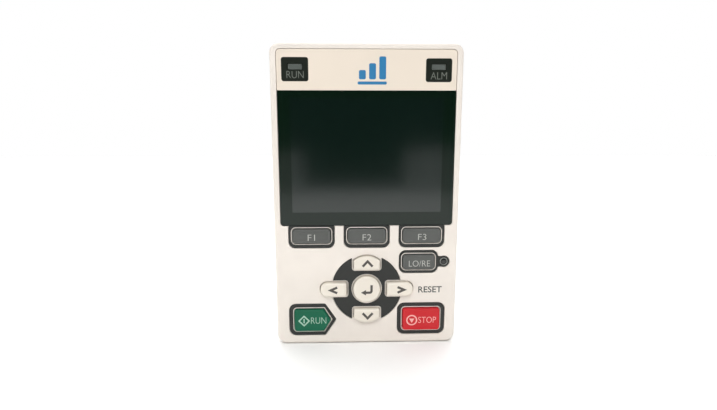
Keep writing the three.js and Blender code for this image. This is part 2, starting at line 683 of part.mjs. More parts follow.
const flexBackY = BOARD_BACK_Y + FLEX_BEHIND_BOARD;
const flexTop = glassLow + FLEX_RUN;
const flexLow = flexZ - FLEX_THICKNESS;
const flex = joined(
  box(-FLEX_WIDTH / 2, FLEX_WIDTH / 2, GLASS_BACK_Y - 0.5, flexBackY, flexLow, flexZ),
  box(-FLEX_WIDTH / 2, FLEX_WIDTH / 2, flexBackY - FLEX_THICKNESS, flexBackY, flexLow, flexTop),
);
addPiece('lcd_flex', flex, FLEX_AMBER);

const connectorLow = flexTop - 1.6;
const flexConnector = without(
  box(-FLEX_WIDTH / 2 - 1, FLEX_WIDTH / 2 + 1, BOARD_BACK_Y + SEAT, BOARD_BACK_Y + FLEX_CONNECTOR_DEPTH,
    connectorLow, connectorLow + 4),
  box(-FLEX_WIDTH / 2 - FIT, FLEX_WIDTH / 2 + FIT, flexBackY - FLEX_THICKNESS - FIT, flexBackY + FIT,
    connectorLow - 1, flexTop + FIT),
);
addPiece('flex_connector', flexConnector, BLACK_MOULDING);

// ---------------------------------------------------------------- main board

const jackOutline = (grow) => plate(0, JACK_Z, JACK_WIDTH + 2 * grow, JACK_HEIGHT + 2 * grow, 0.3);

const board = without(
  slab(roundedRect(-BOARD.x, BOARD.x, BOARD.low, BOARD.high, 2), BOARD_FRONT_Y, BOARD_BACK_Y),
  slab(jackOutline(FIT), FRONT_Y, 0),
  flexSlot,
  ...screwPlaces.map(([x, z]) => pin(x, z, SCREW_R + 0.3, FRONT_Y, 0, 16)),
);
addPiece('main_board', board, BOARD_GREEN);

const chip = plate(CHIP_X, CHIP_Z, CHIP_SIZE, CHIP_SIZE, 0.2);
const chipFrontY = BOARD_BACK_Y + SEAT;
addPiece('processor', slab(chip, chipFrontY, chipFrontY + CHIP_THICKNESS, 2), BLACK_MOULDING);

function rj45Jack() {
  const backY = -2 * SEAT;
  const mouthTop = JACK_Z + JACK_HEIGHT / 2 - JACK_TOP_WALL;
  const mouthLow = mouthTop - JACK_MOUTH[1];
  const innerY = HOLDER_BACK_Y + SEAT + JACK_END_WALL;
  return without(
    joined(
      slab(jackOutline(0), HOLDER_BACK_Y + SEAT, backY),
      slab(jackOutline(JACK_SHOULDER_REACH), BOARD_BACK_Y + SEAT,
        BOARD_BACK_Y + SEAT + JACK_SHOULDER),
    ),
    box(-JACK_MOUTH[0] / 2, JACK_MOUTH[0] / 2, innerY, BEYOND, mouthLow, mouthTop),
    box(-JACK_LATCH[0] / 2, JACK_LATCH[0] / 2, innerY + JACK_LATCH_STEP, BEYOND,
      mouthLow - JACK_LATCH[1], mouthLow + MERGE),
  );
}

addPiece('rj45_jack', rj45Jack(), BLACK_MOULDING);

function usbSocket() {
  const right = usb.left + USB_SIZE[0];
  const middleY = (usb.front + usb.back) / 2;
  const halfMouth = USB_MOUTH[0] / 2;
  const halfLong = USB_MOUTH[1] / 2;
  const tongue = box(right - USB_SIZE[0] * 0.2 - USB_TONGUE[0], right - 0.5, middleY - USB_TONGUE[1] / 2,
    middleY + USB_TONGUE[1] / 2, USB_MIDDLE_Z - USB_TONGUE[2] / 2, USB_MIDDLE_Z + USB_TONGUE[2] / 2);
  return joined(
    without(
      box(usb.left, right, usb.front, usb.back, usb.low, usb.high),
      box(usb.left - 1, right - USB_SIZE[0] * 0.12, middleY - halfMouth, middleY + halfMouth,
        USB_MIDDLE_Z - halfLong, USB_MIDDLE_Z + halfLong),
    ),
    tongue,
  );
}

addPiece('usb_socket', usbSocket(), STEEL);

// ---------------------------------------------------------------- status lights

const ledFrontY = BOARD_FRONT_Y - SEAT - LED_SIZE[1];
const ledAt = (x, z) => box(x - LED_SIZE[0] / 2, x + LED_SIZE[0] / 2, ledFrontY, BOARD_FRONT_Y - SEAT,
  z - LED_SIZE[2] / 2, z + LED_SIZE[2] / 2);

for (const [name, side] of [['run', -1], ['alarm', 1]]) {
  addPiece(`${name}_light_pipe`, statusSlot(side, 0, FRONT_Y + SEAT, ledFrontY - FIT), LIGHT_GUIDE);
  addPiece(`${name}_led`, ledAt(side * STATUS_X, STATUS_Z), LED_WHITE);
}
addPiece('remote_light_pipe', pin(lamp.x, lamp.z, LAMP_R, FRONT_Y - 0.1, ledFrontY - FIT, 20), LIGHT_GUIDE);
addPiece('remote_led', ledAt(lamp.x, lamp.z), LED_WHITE);

// ---------------------------------------------------------------- rear case

const FLANGE_BACK = SEAM_Y + FLANGE;
const portionOutline = (inset, r) => roundedRect(-INSERT_PORTION.x + inset, INSERT_PORTION.x - inset,
  INSERT_PORTION.low + inset, INSERT_PORTION.high - inset, r);
const grooveX = COVER_HALF + COVER_TONGUE + SLIDE_GAP;
const coverMiddleY = -COVER_THICKNESS / 2;

function coverRecess() {
  const low = COVER_LOW - SLIDE_GAP;
  const out = HEIGHT;
  return joined(
    box(-grooveX, grooveX, COVER_FLOOR_Y, coverMiddleY + SLIDE_GAP / 2, low, out),
    box(-COVER_HALF - SLIDE_GAP, COVER_HALF + SLIDE_GAP, coverMiddleY - MERGE / 2, BEYOND, low, out),
  );
}

// The positive contact's slot opens into the side of the cell's well, and up into the cover's recess.
function contactSlots() {
  const half = CONTACT_WIDTH / 2 + FIT;
  const root = CELL_Z - CONTACT_ROOT;
  return [
    box(WELL_R - SLOT_INTO_WELL, POSITIVE_X + CONTACT_THICKNESS + 2 * FIT, FRONT_Y, COVER_FLOOR_Y + MERGE,
      CELL_Z - half, CELL_Z + half),
    box(-half, half, FRONT_Y, CELL_FRONT_Y, root - CONTACT_THICKNESS - FIT, root + FIT),
  ];
}

function rearCase() {
  const flangeOutline = roundedRect(-WIDTH / 2, WIDTH / 2, 0, HEIGHT, CORNER_R);
  const lipOutline = (inset) => roundedRect(-INSIDE.x + inset, INSIDE.x - inset, INSIDE.low + inset,
    INSIDE.high - inset, 1.4);
  const lip = slab(lipOutline(0.2), SEAM_Y - LIP_HEIGHT, SEAM_Y + MERGE)
    .subtract(slab(lipOutline(0.2 + LIP), FRONT_Y, 0));
  let shell = joined(slab(flangeOutline, SEAM_Y, FLANGE_BACK, 4), slab(portionOutline(0, 2), SEAM_Y, 0), lip);
  shell = shell.subtract(slab(portionOutline(WALL, 1), FRONT_Y, -WALL));
  const pads = [
    pin(0, CELL_Z, WELL_R + WELL_WALL, WELL_FLOOR_Y - WELL_WALL, -WALL + MERGE, 36),
    box(-grooveX - WALL, grooveX + WALL, COVER_FLOOR_Y - WALL, -WALL + MERGE,
      COVER_LOW - WALL, INSERT_PORTION.high - WALL / 2),
    ...screwPlaces.map(([x, z]) => pin(x, z, SCREW_HEAD_R + 1, BOARD_BACK_Y + SEAT, -WALL + MERGE)),
    ...insertPlaces.map(([x, z]) => (
      pin(x, z, INSERT_R + INSERT_WALL, -INSERT_LENGTH - BEYOND - INSERT_WALL, -WALL + MERGE)
    )),
  ];
  const cuts = [
    coverRecess(),
    ...contactSlots(),
    pin(0, CELL_Z, WELL_R, WELL_FLOOR_Y, BEYOND, 36),
    slab(jackOutline(2 * FIT), FRONT_Y, BEYOND),
    slab(plate(0, LABEL_Z, LABEL[0] + 2 * FIT, LABEL[1] + 2 * FIT, 1), -LABEL[2] - SEAT, BEYOND),
    ...screwPlaces.map(([x, z]) => pin(x, z, SCREW_HEAD_R + 0.2, SCREW_SEAT_Y, BEYOND)),
    ...screwPlaces.map(([x, z]) => pin(x, z, SCREW_R + 0.2, FRONT_Y, 0)),
    ...insertPlaces.map(([x, z]) => pin(x, z, INSERT_R + SEAT, -INSERT_LENGTH - BEYOND, BEYOND)),
  ];
  return without(joined(shell, ...pads), ...cuts);
}

addPiece('rear_case', rearCase(), CHARCOAL);

// ---------------------------------------------------------------- battery, its contacts and its cover

addPiece('coin_cell', pin(0, CELL_Z, CELL_D / 2, CELL_FRONT_Y, CELL_BACK_Y, 36), STEEL);

const contactHalf = CONTACT_WIDTH / 2;
const contactRoot = BOARD_BACK_Y + SEAT;
const leafFrontY = WELL_FLOOR_Y + SEAT;
const leafBackY = leafFrontY + CONTACT_THICKNESS;
const rootZ = CELL_Z - CONTACT_ROOT;
const negativeContact = joined(
  box(-contactHalf, contactHalf, leafFrontY, leafBackY, rootZ - CONTACT_THICKNESS, CELL_Z + 3),
  box(-1, 1, leafFrontY, CELL_FRONT_Y - SEAT, CELL_Z - 1, CELL_Z + 1),
  box(-contactHalf, contactHalf, contactRoot, leafBackY, rootZ - CONTACT_THICKNESS, rootZ),
);
addPiece('battery_contact_negative', negativeContact, STEEL);

const positiveContact = box(POSITIVE_X, POSITIVE_X + CONTACT_THICKNESS, contactRoot, CELL_BACK_Y,
  CELL_Z - contactHalf, CELL_Z + contactHalf);
addPiece('battery_contact_positive', positiveContact, STEEL);

function batteryCover() {
  const low = COVER_LOW;
  const high = INSERT_PORTION.high;
  const tongueX = COVER_HALF + COVER_TONGUE;
  return joined(
    box(-COVER_HALF, COVER_HALF, -COVER_THICKNESS, 0, low, high),
    box(-tongueX, tongueX, -COVER_THICKNESS, coverMiddleY - SLIDE_GAP / 2, low, high),
  ).subtract(slab(plate(0, CELL_Z + 2, 12, 8, 2), -0.4, 1));
}

addPiece('battery_cover', batteryCover(), CHARCOAL);

// ---------------------------------------------------------------- fastenings and label

screwPlaces.forEach(([x, z], i) => {
  const head = pin(x, z, SCREW_HEAD_R, SCREW_SEAT_Y + SEAT, SCREW_SEAT_Y + SCREW_HEAD);
  const shank = pin(x, z, SCREW_R, SCREW_SEAT_Y - SCREW_LENGTH, SCREW_SEAT_Y + 0.5);
  const cross = [
    box(x - 0.3, x + 0.3, SCREW_SEAT_Y + SCREW_HEAD - 1, 0, z - 1.4, z + 1.4),
    box(x - 1.4, x + 1.4, SCREW_SEAT_Y + SCREW_HEAD - 1, 0, z - 0.3, z + 0.3),
  ];
  addPiece(`case_screw_${i + 1}`, without(joined(head, shank), ...cross), STEEL);
});

insertPlaces.forEach(([x, z], i) => {
  const sleeve = pin(x, z, INSERT_R, -INSERT_LENGTH - SEAT, -SEAT);
  const bore = pin(x, z, INSERT_BORE_R, -INSERT_LENGTH - BEYOND, BEYOND);
  addPiece(`threaded_insert_${i + 1}`, sleeve.subtract(bore), BRASS);
});

addPiece('rating_label', slab(plate(0, LABEL_Z, LABEL[0], LABEL[1], 0.8), -LABEL[2], 0, 3), LABEL_SILVER);

export default keypad;
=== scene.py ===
"""Operator keypad of a variable frequency drive: a graphic display above an eleven-key pad."""

import math

import bmesh
import bpy
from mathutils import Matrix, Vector


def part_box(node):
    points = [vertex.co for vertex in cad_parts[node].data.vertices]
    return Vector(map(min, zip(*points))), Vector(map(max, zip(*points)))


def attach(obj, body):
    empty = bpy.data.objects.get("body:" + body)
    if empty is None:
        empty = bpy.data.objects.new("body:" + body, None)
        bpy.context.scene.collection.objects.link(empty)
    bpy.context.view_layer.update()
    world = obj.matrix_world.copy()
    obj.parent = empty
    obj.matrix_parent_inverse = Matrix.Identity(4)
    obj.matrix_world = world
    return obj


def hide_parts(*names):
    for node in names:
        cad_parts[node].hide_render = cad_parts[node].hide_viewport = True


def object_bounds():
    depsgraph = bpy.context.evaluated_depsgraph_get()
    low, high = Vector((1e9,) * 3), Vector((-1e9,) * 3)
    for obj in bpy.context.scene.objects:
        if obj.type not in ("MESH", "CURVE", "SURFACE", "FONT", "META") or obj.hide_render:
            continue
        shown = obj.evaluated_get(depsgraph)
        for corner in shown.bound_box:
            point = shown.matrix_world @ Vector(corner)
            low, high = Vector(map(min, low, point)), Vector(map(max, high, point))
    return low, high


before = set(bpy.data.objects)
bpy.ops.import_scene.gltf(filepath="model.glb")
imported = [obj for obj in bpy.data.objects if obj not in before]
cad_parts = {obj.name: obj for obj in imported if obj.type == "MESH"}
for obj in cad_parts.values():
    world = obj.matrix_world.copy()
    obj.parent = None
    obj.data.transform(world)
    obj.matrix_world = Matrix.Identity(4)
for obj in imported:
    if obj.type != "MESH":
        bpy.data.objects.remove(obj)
cad_low, cad_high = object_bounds()

# ---------------------------------------------------------------- front case
# The front shell is one moulding of cream ABS, 2 mm thick in front. It has a recess for the lens
# sheet, shallow recesses for the dark key frames, and a thin rim standing round each key opening.

MM = 0.001
LOWER_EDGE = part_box("front_case")[0].z / MM  # shapes are drawn in heights above this edge
FIT = 0.15
RIM = 0.4  # from the outline of each key opening to the opening itself
RIM_INSET = 0.12  # from that outline to the outside of the case's thin rim
KEY_GAP = 0.3  # from a keycap to its opening
FRAME_DEPTH = 1.2
ARC_STEPS = 8
BEYOND = 1.0  # how far a cutter reaches past the face that it cuts
WELD = 0.0005  # points closer than this are one point


def box_mm(node):
    low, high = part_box(node)
    return low / MM, high / MM


def rounded(corners, steps=ARC_STEPS):
    """An outline through convex corners (x, height, radius), anticlockwise from in front."""

    def outline(grow=0.0):
        points = []
        for i, (x, z, r) in enumerate(corners):
            here = Vector((x, z))
            before = (here - Vector(corners[i - 1][:2])).normalized()
            after = (Vector(corners[(i + 1) % len(corners)][:2]) - here).normalized()
            first = Vector((before.y, -before.x))
            last = Vector((after.y, -after.x))
            mitre = (first + last) / (1 + first.dot(last))
            radius = max(r + grow, 0.05)
            middle = here + mitre * (grow - radius)
            start = math.atan2(first.y, first.x)
            turn = before.angle(after)
            for k in range(steps + 1):
                a = start + turn * k / steps
                points.append((middle.x + radius * math.cos(a), middle.y + radius * math.sin(a)))
        return points

    return outline


def block(left, right, low, high, r, steps=ARC_STEPS):
    """The outline of a rectangle with rounded corners: one radius, or one for each corner."""
    radii = r if isinstance(r, (list, tuple)) else [r] * 4
    corners = [(left, low), (right, low), (right, high), (left, high)]
    return rounded([(x, z, one) for (x, z), one in zip(corners, radii)], steps)


def node_block(node, grow, r, steps=ARC_STEPS):
    """A block round a CAD node as seen from in front."""
    low, high = box_mm(node)
    bottom, top = low.z - LOWER_EDGE - grow, high.z - LOWER_EDGE + grow
    return block(low.x - grow, high.x + grow, bottom, top, r, steps)


def round_one(x, z, r, steps=16):
    return block(x - r, x + r, z - r, z + r, r, steps)


def weld(shape):
    """Merge points that lie on one another."""
    bmesh.ops.remove_doubles(shape, verts=shape.verts, dist=WELD * MM)


def linked(name, mesh):
    part = bpy.data.objects.new(name, mesh)
    bpy.context.scene.collection.objects.link(part)
    return part


def solid_of(name, outline, stations):
    """A closed mesh skinned over one outline, grown and set at a depth at each station."""
    shape = bmesh.new()
    rings = []
    for grow, y in stations:
        places = [Vector((x, y, z + LOWER_EDGE)) * MM for x, z in outline(grow)]
        rings.append([shape.verts.new(place) for place in places])
    for near, far in zip(rings, rings[1:]):
        for i in range(len(near)):
            shape.faces.new((near[i - 1], near[i], far[i], far[i - 1]))
    shape.faces.new(rings[0])
    shape.faces.new(rings[-1])
    weld(shape)
    bmesh.ops.recalc_face_normals(shape, faces=shape.faces)
    mesh = bpy.data.meshes.new(name)
    shape.to_mesh(mesh)
    shape.free()
    return linked(name, mesh)


def quarter(steps):
    """The turns of a quarter circle, in even steps from a right angle down to nothing."""
    return [math.radians(90 - 90 * i / steps) for i in range(steps + 1)]


def soft_edge(front, r, steps=4, rise=None):
    """Stations of an outer edge rounded towards the front."""
    rise = r if rise is None else rise
    return [(-r * (1 - math.cos(a)), front + rise * (1 - math.sin(a))) for a in quarter(steps)]


def mouth(front, r, steps=3):
    """Stations of a cutter whose opening leaves a rounded edge."""
    curve = [(r - r * math.cos(a), front + r - r * math.sin(a)) for a in quarter(steps)]
    return [(r, front - BEYOND)] + curve


def widened(stations, grow):
    """Stations moved out from their outline, or in where the step is negative."""
    return [(grow + one, y) for one, y in stations]


def evaluated_mesh(part):
    bpy.context.view_layer.update()
    shown = part.evaluated_get(bpy.context.evaluated_depsgraph_get())
    return bpy.data.meshes.new_from_object(shown)


def combine(part, other, operation):
    """Cut, join or cross one closed solid with another, and use the other up."""
    step = part.modifiers.new("step", "BOOLEAN")
    step.operation = operation
    step.solver = "MANIFOLD"
    step.object = other
    result = evaluated_mesh(part)
    part.modifiers.remove(step)
    part.data = result
    bpy.data.objects.remove(other)
    return part


def cut(part, *cutters):
    for cutter in cutters:
        combine(part, cutter, "DIFFERENCE")
    return part


def join(part, *others):
    for other in others:
        combine(part, other, "UNION")
    return part


def finish_piece(part, name, material, body, nodes, sharp=32):
    """Name a piece, give it its material and shading, attach it to its body, and hide its CAD
    nodes.
    """
    part.name = name
    part.data.name = name
    part.data.materials.clear()
    part.data.materials.append(material)
    part.data.shade_smooth()
    part.data.set_sharp_from_angle(angle=math.radians(sharp))
    weighted = part.modifiers.new("weighted", "WEIGHTED_NORMAL")
    weighted.keep_sharp = True
    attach(part, body)
    if nodes:
        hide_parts(*nodes)
    return part


def linear(code):
    """An sRGB hex colour, as the linear colour that shaders take."""
    parts = [int(code[i:i + 2], 16) / 255 for i in (1, 3, 5)]
    return [c / 12.92 if c <= 0.04045 else ((c + 0.055) / 1.055) ** 2.4 for c in parts] + [1.0]


def shaded(colour, factor):
    return [min(c * factor, 1.0) for c in colour[:3]] + [1.0]


def add_node(tree, kind, inputs=None, **settings):
    """A node with its plain settings, and with values or links for its sockets."""
    node = tree.nodes.new(kind)
    for key, value in settings.items():
        setattr(node, key, value)
    for socket, value in (inputs or {}).items():
        if isinstance(value, bpy.types.NodeSocket):
            tree.links.new(value, node.inputs[socket])
        else:
            node.inputs[socket].default_value = value
    return node


def surface(name):
    """A new material's node tree, with its Object coordinates."""
    material = bpy.data.materials.new(name)
    material.use_nodes = True
    tree = material.node_tree
    tree.nodes.clear()
    return material, tree, add_node(tree, "ShaderNodeTexCoord").outputs["Object"]


def finished(tree, shader):
    """Give a material's tree its output."""
    add_node(tree, "ShaderNodeOutputMaterial", {"Surface": shader.outputs[0]})


def set_tones(ramp, shade, dark, light):
    for element, spot, factor in zip(ramp.color_ramp.elements, (0.3, 0.7), (dark, light)):
        element.position = spot
        element.color = shaded(linear(shade), factor)


# ABS out of a spark-eroded mould: satin, with a fine even grain. The real grain is about
# 0.1 mm and is drawn at 0.3 mm so that it shows. The melt leaves a very faint mottle.
def moulded(name, shade, roughness, grain=0.3, relief=0.004, mottle=0.03, **sockets):
    material, tree, place = surface(name)
    cloud = add_node(tree, "ShaderNodeTexNoise", {
        "Vector": place,
        "Scale": 1 / (11 * MM),
        "Detail": 3.0,
    })
    ramp = add_node(tree, "ShaderNodeValToRGB", {"Fac": cloud.outputs["Fac"]})
    set_tones(ramp, shade, 1 - mottle, 1 + mottle)
    sheen = add_node(tree, "ShaderNodeMapRange", {
        "Value": cloud.outputs["Fac"],
        "To Min": roughness + 0.04,
        "To Max": roughness - 0.04,
    })
    grit = add_node(tree, "ShaderNodeTexNoise", {
        "Vector": place,
        "Scale": 1 / (grain * MM),
        "Detail": 2.0,
    })
    bump = add_node(tree, "ShaderNodeBump", {
        "Height": grit.outputs["Fac"],
        "Distance": relief * MM,
    })
    shader = add_node(tree, "ShaderNodeBsdfPrincipled", {
        "Base Color": ramp.outputs["Color"],
        "Roughness": sheen.outputs["Result"],
        "Normal": bump.outputs["Normal"],
        "IOR": 1.53,
        **sockets,
    })
    finished(tree, shader)
    return material


case_low, case_high = box_mm("front_case")
front_y = case_low.y
seam_y = case_high.y
width = case_high.x - case_low.x
height = case_high.z - case_low.z
half = width / 2
WALL = 1.8
FRONT_WALL = 2.0
CORNER_R = 3.4
inner_front_y = front_y + FRONT_WALL
frame_floor_y = front_y + FRAME_DEPTH

lens_low, lens_high = box_mm("display_lens")
lens_outline = node_block("display_lens", 0, (1, 1, 1.3, 1.3))

# Every key opening is drawn from the outside of the case's rim round it.
KEY_FLANGE = 0.85  # reach of a bar key's flange past its cap, inside the case
KEY_R = 1.8
MAIN_R = 1.6
PAST_FLANGE = RIM + KEY_GAP - KEY_FLANGE  # from a flange's edge to the outline of its opening
SHOULDER_R = 0.7
TIP_R = 0.5

soft_keys = ["f1_key", "f2_key", "f3_key"]
grey_keys = soft_keys + ["local_remote_key"]
key_outlines = {node: node_block(node, PAST_FLANGE, KEY_R) for node in grey_keys}
key_outlines["stop_key"] = node_block("stop_key", PAST_FLANGE, MAIN_R)

stop_low, stop_high = box_mm("stop_key")
main_low = stop_low.z - LOWER_EDGE - PAST_FLANGE
main_high = stop_high.z - LOWER_EDGE + PAST_FLANGE
RUN_SHOULDER = 11.6
RUN_TIP = 14.5
run_left = box_mm("run_key")[0].x - PAST_FLANGE


def pointed(left, shoulder, tip, low, high, r):
    """A bar with its right end drawn out to a point."""
    middle = (low + high) / 2
    return rounded([
        (left, low, r),
        (shoulder, low, SHOULDER_R),
        (tip, middle, TIP_R),
        (shoulder, high, SHOULDER_R),
        (left, high, r),
    ])


key_outlines["run_key"] = pointed(
    run_left, run_left + RUN_SHOULDER, run_left + RUN_TIP, main_low, main_high, MAIN_R)

enter_low, enter_high = box_mm("enter_key")
pad_z = (enter_low.z + enter_high.z) / 2 - LOWER_EDGE
ENTER_R = 5.6
PAD_R = 12.5
key_outlines["enter_key"] = round_one(0, pad_z, ENTER_R)

# The up and down keys, by heights above the pad's middle.
END_HALF = 5.4
END_INNER = 6.6
END_SIDE = 10.9
END_APEX = 13.1
END_R = 1.2
END_SHOULDER_R = 0.8
BOW_STEPS = 8


def bowed(side):
    """A pad key with a straight inner end, bowed outwards at its outer end."""
    rise = END_APEX - END_SIDE
    bow_r = (END_HALF ** 2 + rise ** 2) / (2 * rise)
    reach = math.asin(END_HALF / bow_r)
    corners = [(-END_HALF, END_INNER, END_R), (END_HALF, END_INNER, END_R)]
    for i in range(BOW_STEPS + 1):
        a = reach * (1 - 2 * i / BOW_STEPS)
        r = END_SHOULDER_R if i in (0, BOW_STEPS) else bow_r * 0.9
        corners.append((bow_r * math.sin(a), END_APEX - bow_r + bow_r * math.cos(a), r))
    return rounded([(side * x, pad_z + side * z, r) for x, z, r in corners], 4)


key_outlines["up_key"] = bowed(1)
key_outlines["down_key"] = bowed(-1)

SIDE_INNER = 6.5
SIDE_OUTER = 17.3
SIDE_HALF = 3.25
key_outlines["left_key"] = block(
    -SIDE_OUTER, -SIDE_INNER, pad_z - SIDE_HALF, pad_z + SIDE_HALF, (3, 1.2, 1.2, 3))
key_outlines["right_key"] = block(
    SIDE_INNER, SIDE_OUTER, pad_z - SIDE_HALF, pad_z + SIDE_HALF, (1.2, 3, 3, 1.2))

# The case's rims run straight out beside the bowed keys, through the edge of the disc.
END_RIM = 13.4
RIM_END_R = 0.3
up_rim = (pad_z + END_INNER, pad_z + END_RIM, (END_R, END_R, RIM_END_R, RIM_END_R))
down_rim = (pad_z - END_RIM, pad_z - END_INNER, (RIM_END_R, RIM_END_R, END_R, END_R))
rim_outlines = {
    **key_outlines,
    "up_key": block(-END_HALF, END_HALF, *up_rim),
    "down_key": block(-END_HALF, END_HALF, *down_rim),
}

remote_low, remote_high = box_mm("local_remote_bezel")
lamp_low, lamp_high = box_mm("remote_light_pipe")
lamp_x = (lamp_low.x + lamp_high.x) / 2
lamp_z = (lamp_low.z + lamp_high.z) / 2 - LOWER_EDGE
LAMP_BOSS_R = 2.0
LAMP_NECK = 3.0
LAMP_NECK_HALF = 1.85
REMOTE_FRAME = 13.9  # width of the local/remote frame without its lamp boss
FRAME_R = 2.4
SOFT_FRAME_RADII = (2.3, 2.3, 0.5, 0.5)
RUN_FRAME_SHOULDER = RUN_SHOULDER + 0.1

run_frame_low, run_frame_high = box_mm("run_bezel")
frame_outlines = {
    "f1_bezel": node_block("f1_bezel", 0, SOFT_FRAME_RADII),
    "f2_bezel": node_block("f2_bezel", 0, SOFT_FRAME_RADII),
    "f3_bezel": node_block("f3_bezel", 0, SOFT_FRAME_RADII),
    "local_remote_bezel": block(
        remote_low.x, remote_low.x + REMOTE_FRAME, remote_low.z - LOWER_EDGE,
        remote_high.z - LOWER_EDGE, FRAME_R),
    "stop_bezel": node_block("stop_bezel", 0, FRAME_R),
    "run_bezel": pointed(
        run_frame_low.x, run_left + RUN_FRAME_SHOULDER, run_frame_high.x,
        run_frame_low.z - LOWER_EDGE, run_frame_high.z - LOWER_EDGE, FRAME_R),
    "pad_disc": round_one(0, pad_z, PAD_R, 30),
}
lamp_boss = round_one(lamp_x, lamp_z, LAMP_BOSS_R)
lamp_neck = block(
    lamp_x - LAMP_NECK, lamp_x, lamp_z - LAMP_NECK_HALF, lamp_z + LAMP_NECK_HALF, 0.1)

CASE_EDGE_R = 1.1
SEAM_EDGE = 0.15
case_outline = block(-half, half, 0, height, CORNER_R, 12)
front_case = solid_of(
    "front_case_shell", case_outline,
    soft_edge(front_y, CASE_EDGE_R, 6) + [(0, seam_y - SEAM_EDGE), (-SEAM_EDGE, seam_y)])
inside = block(-half + WALL, half - WALL, WALL, height - WALL, CORNER_R - WALL)
cut(front_case, solid_of("hollow", inside, [(0, inner_front_y), (0, 1)]))

BOSS_R = 3.1
PILOT_R = 1.28
screw_nodes = [f"case_screw_{i}" for i in (1, 2, 3, 4)]
board_front_y = box_mm("main_board")[0].y
for node in screw_nodes:
    low, high = box_mm(node)
    x, z = (low.x + high.x) / 2, (low.z + high.z) / 2 - LOWER_EDGE
    boss_stations = [(0, inner_front_y - 0.2), (0, board_front_y - 0.05)]
    join(front_case, solid_of("boss", round_one(x, z, BOSS_R), boss_stations))
    cut(front_case, solid_of("bore", round_one(x, z, PILOT_R), [(0, inner_front_y + 0.3), (0, 1)]))

cut(front_case, solid_of(
    "lens_recess", lens_outline, widened(mouth(front_y, 0.2), FIT) + [(FIT, lens_high.y + 0.05)]))
VIEW_MARGIN = 1.2
view = node_block("lcd_glass", -VIEW_MARGIN, 0.6)
cut(front_case, solid_of("view_opening", view, [(0, front_y - BEYOND), (0, 1)]))

recess = widened(mouth(front_y, 0.12), FIT) + [(FIT, frame_floor_y)]
for outline in [*frame_outlines.values(), lamp_boss, lamp_neck]:
    cut(front_case, solid_of("frame_recess", outline, recess))
rim = widened(soft_edge(front_y, 0.1, 3), -RIM_INSET) + [(-RIM_INSET, inner_front_y - 0.3)]
for outline in rim_outlines.values():
    join(front_case, solid_of("rim", outline, rim))
opening = widened(mouth(front_y, 0.1), -RIM) + [(-RIM, inner_front_y + BEYOND)]
for outline in key_outlines.values():
    cut(front_case, solid_of("key_opening", outline, opening))

LAMP_R = 1.25
PIPE_R = 0.3
status_pipes = ("run_light_pipe", "alarm_light_pipe")
lamp_hole = round_one(lamp_x, lamp_z, LAMP_R + FIT)
cut(front_case, solid_of(
    "lamp_hole", lamp_hole, [(0, front_y - BEYOND), (0, inner_front_y + BEYOND)]))
for node in status_pipes:
    slot_stations = [(FIT, front_y - BEYOND), (FIT, inner_front_y + BEYOND)]
    cut(front_case, solid_of("status_slot", node_block(node, 0, PIPE_R), slot_stations))

usb_low, usb_high = box_mm("usb_socket")
USB_LIP = 0.3
USB_LIP_DEPTH = 0.45


def side_pocket(name, grow, left, right):
    """A block along X, for the socket's pocket in the left wall."""
    pocket = block(left, right, usb_low.z - LOWER_EDGE - grow, usb_high.z - LOWER_EDGE + grow, 0.05)
    return solid_of(name, pocket, [(0, usb_low.y - grow), (0, usb_high.y + grow)])


cut(front_case, side_pocket("usb_pocket", FIT, -half - 3, usb_high.x + FIT))
cut(front_case, side_pocket("usb_mouth", FIT + USB_LIP, -half - 3, -half + USB_LIP_DEPTH))

cream_abs = moulded("cream_moulded_abs", "#ebe3da", 0.5)
finish_piece(front_case, "front_case_shell", cream_abs, "case", ["front_case"])

# ---------------------------------------------------------------- lens sheet
# One sheet of clear acrylic, printed on its back: a cream header, a black border round the
# display, two black windows for the status lights, and a small mark of three bars. Its face is
# shaded as one opaque skin, so the windows and the mark are drawn a hair proud of it.

HEADER_LOW = 90.5
PIPE_FIT = 0.05
sheet_back = lens_high.y
sheet = solid_of(
    "lens_sheet", lens_outline, soft_edge(lens_low.y, 0.15, 3) + [(0, sheet_back)])
for node in status_pipes:
    slot_stations = [(PIPE_FIT, lens_low.y - BEYOND), (PIPE_FIT, sheet_back + BEYOND)]
    cut(sheet, solid_of("status_slot", node_block(node, 0, PIPE_R), slot_stations))


# Acrylic over ink: a glossy clear skin over an even colour, with slight waviness of the sheet.
def printed_acrylic(name, shade, roughness, **sockets):
    material, tree, place = surface(name)
    wave = add_node(tree, "ShaderNodeTexNoise", {
        "Vector": place,
        "Scale": 1 / (24 * MM),
        "Detail": 1.0,
    })
    ramp = add_node(tree, "ShaderNodeValToRGB", {"Fac": wave.outputs["Fac"]})
    set_tones(ramp, shade, 0.985, 1.015)
    bump = add_node(tree, "ShaderNodeBump", {
        "Height": wave.outputs["Fac"],
        "Distance": 0.01 * MM,
    })
    shader = add_node(tree, "ShaderNodeBsdfPrincipled", {
        "Base Color": ramp.outputs["Color"],
        "Roughness": roughness,
        "Normal": bump.outputs["Normal"],
        "IOR": 1.49,
        **sockets,
    })
    finished(tree, shader)
    return material


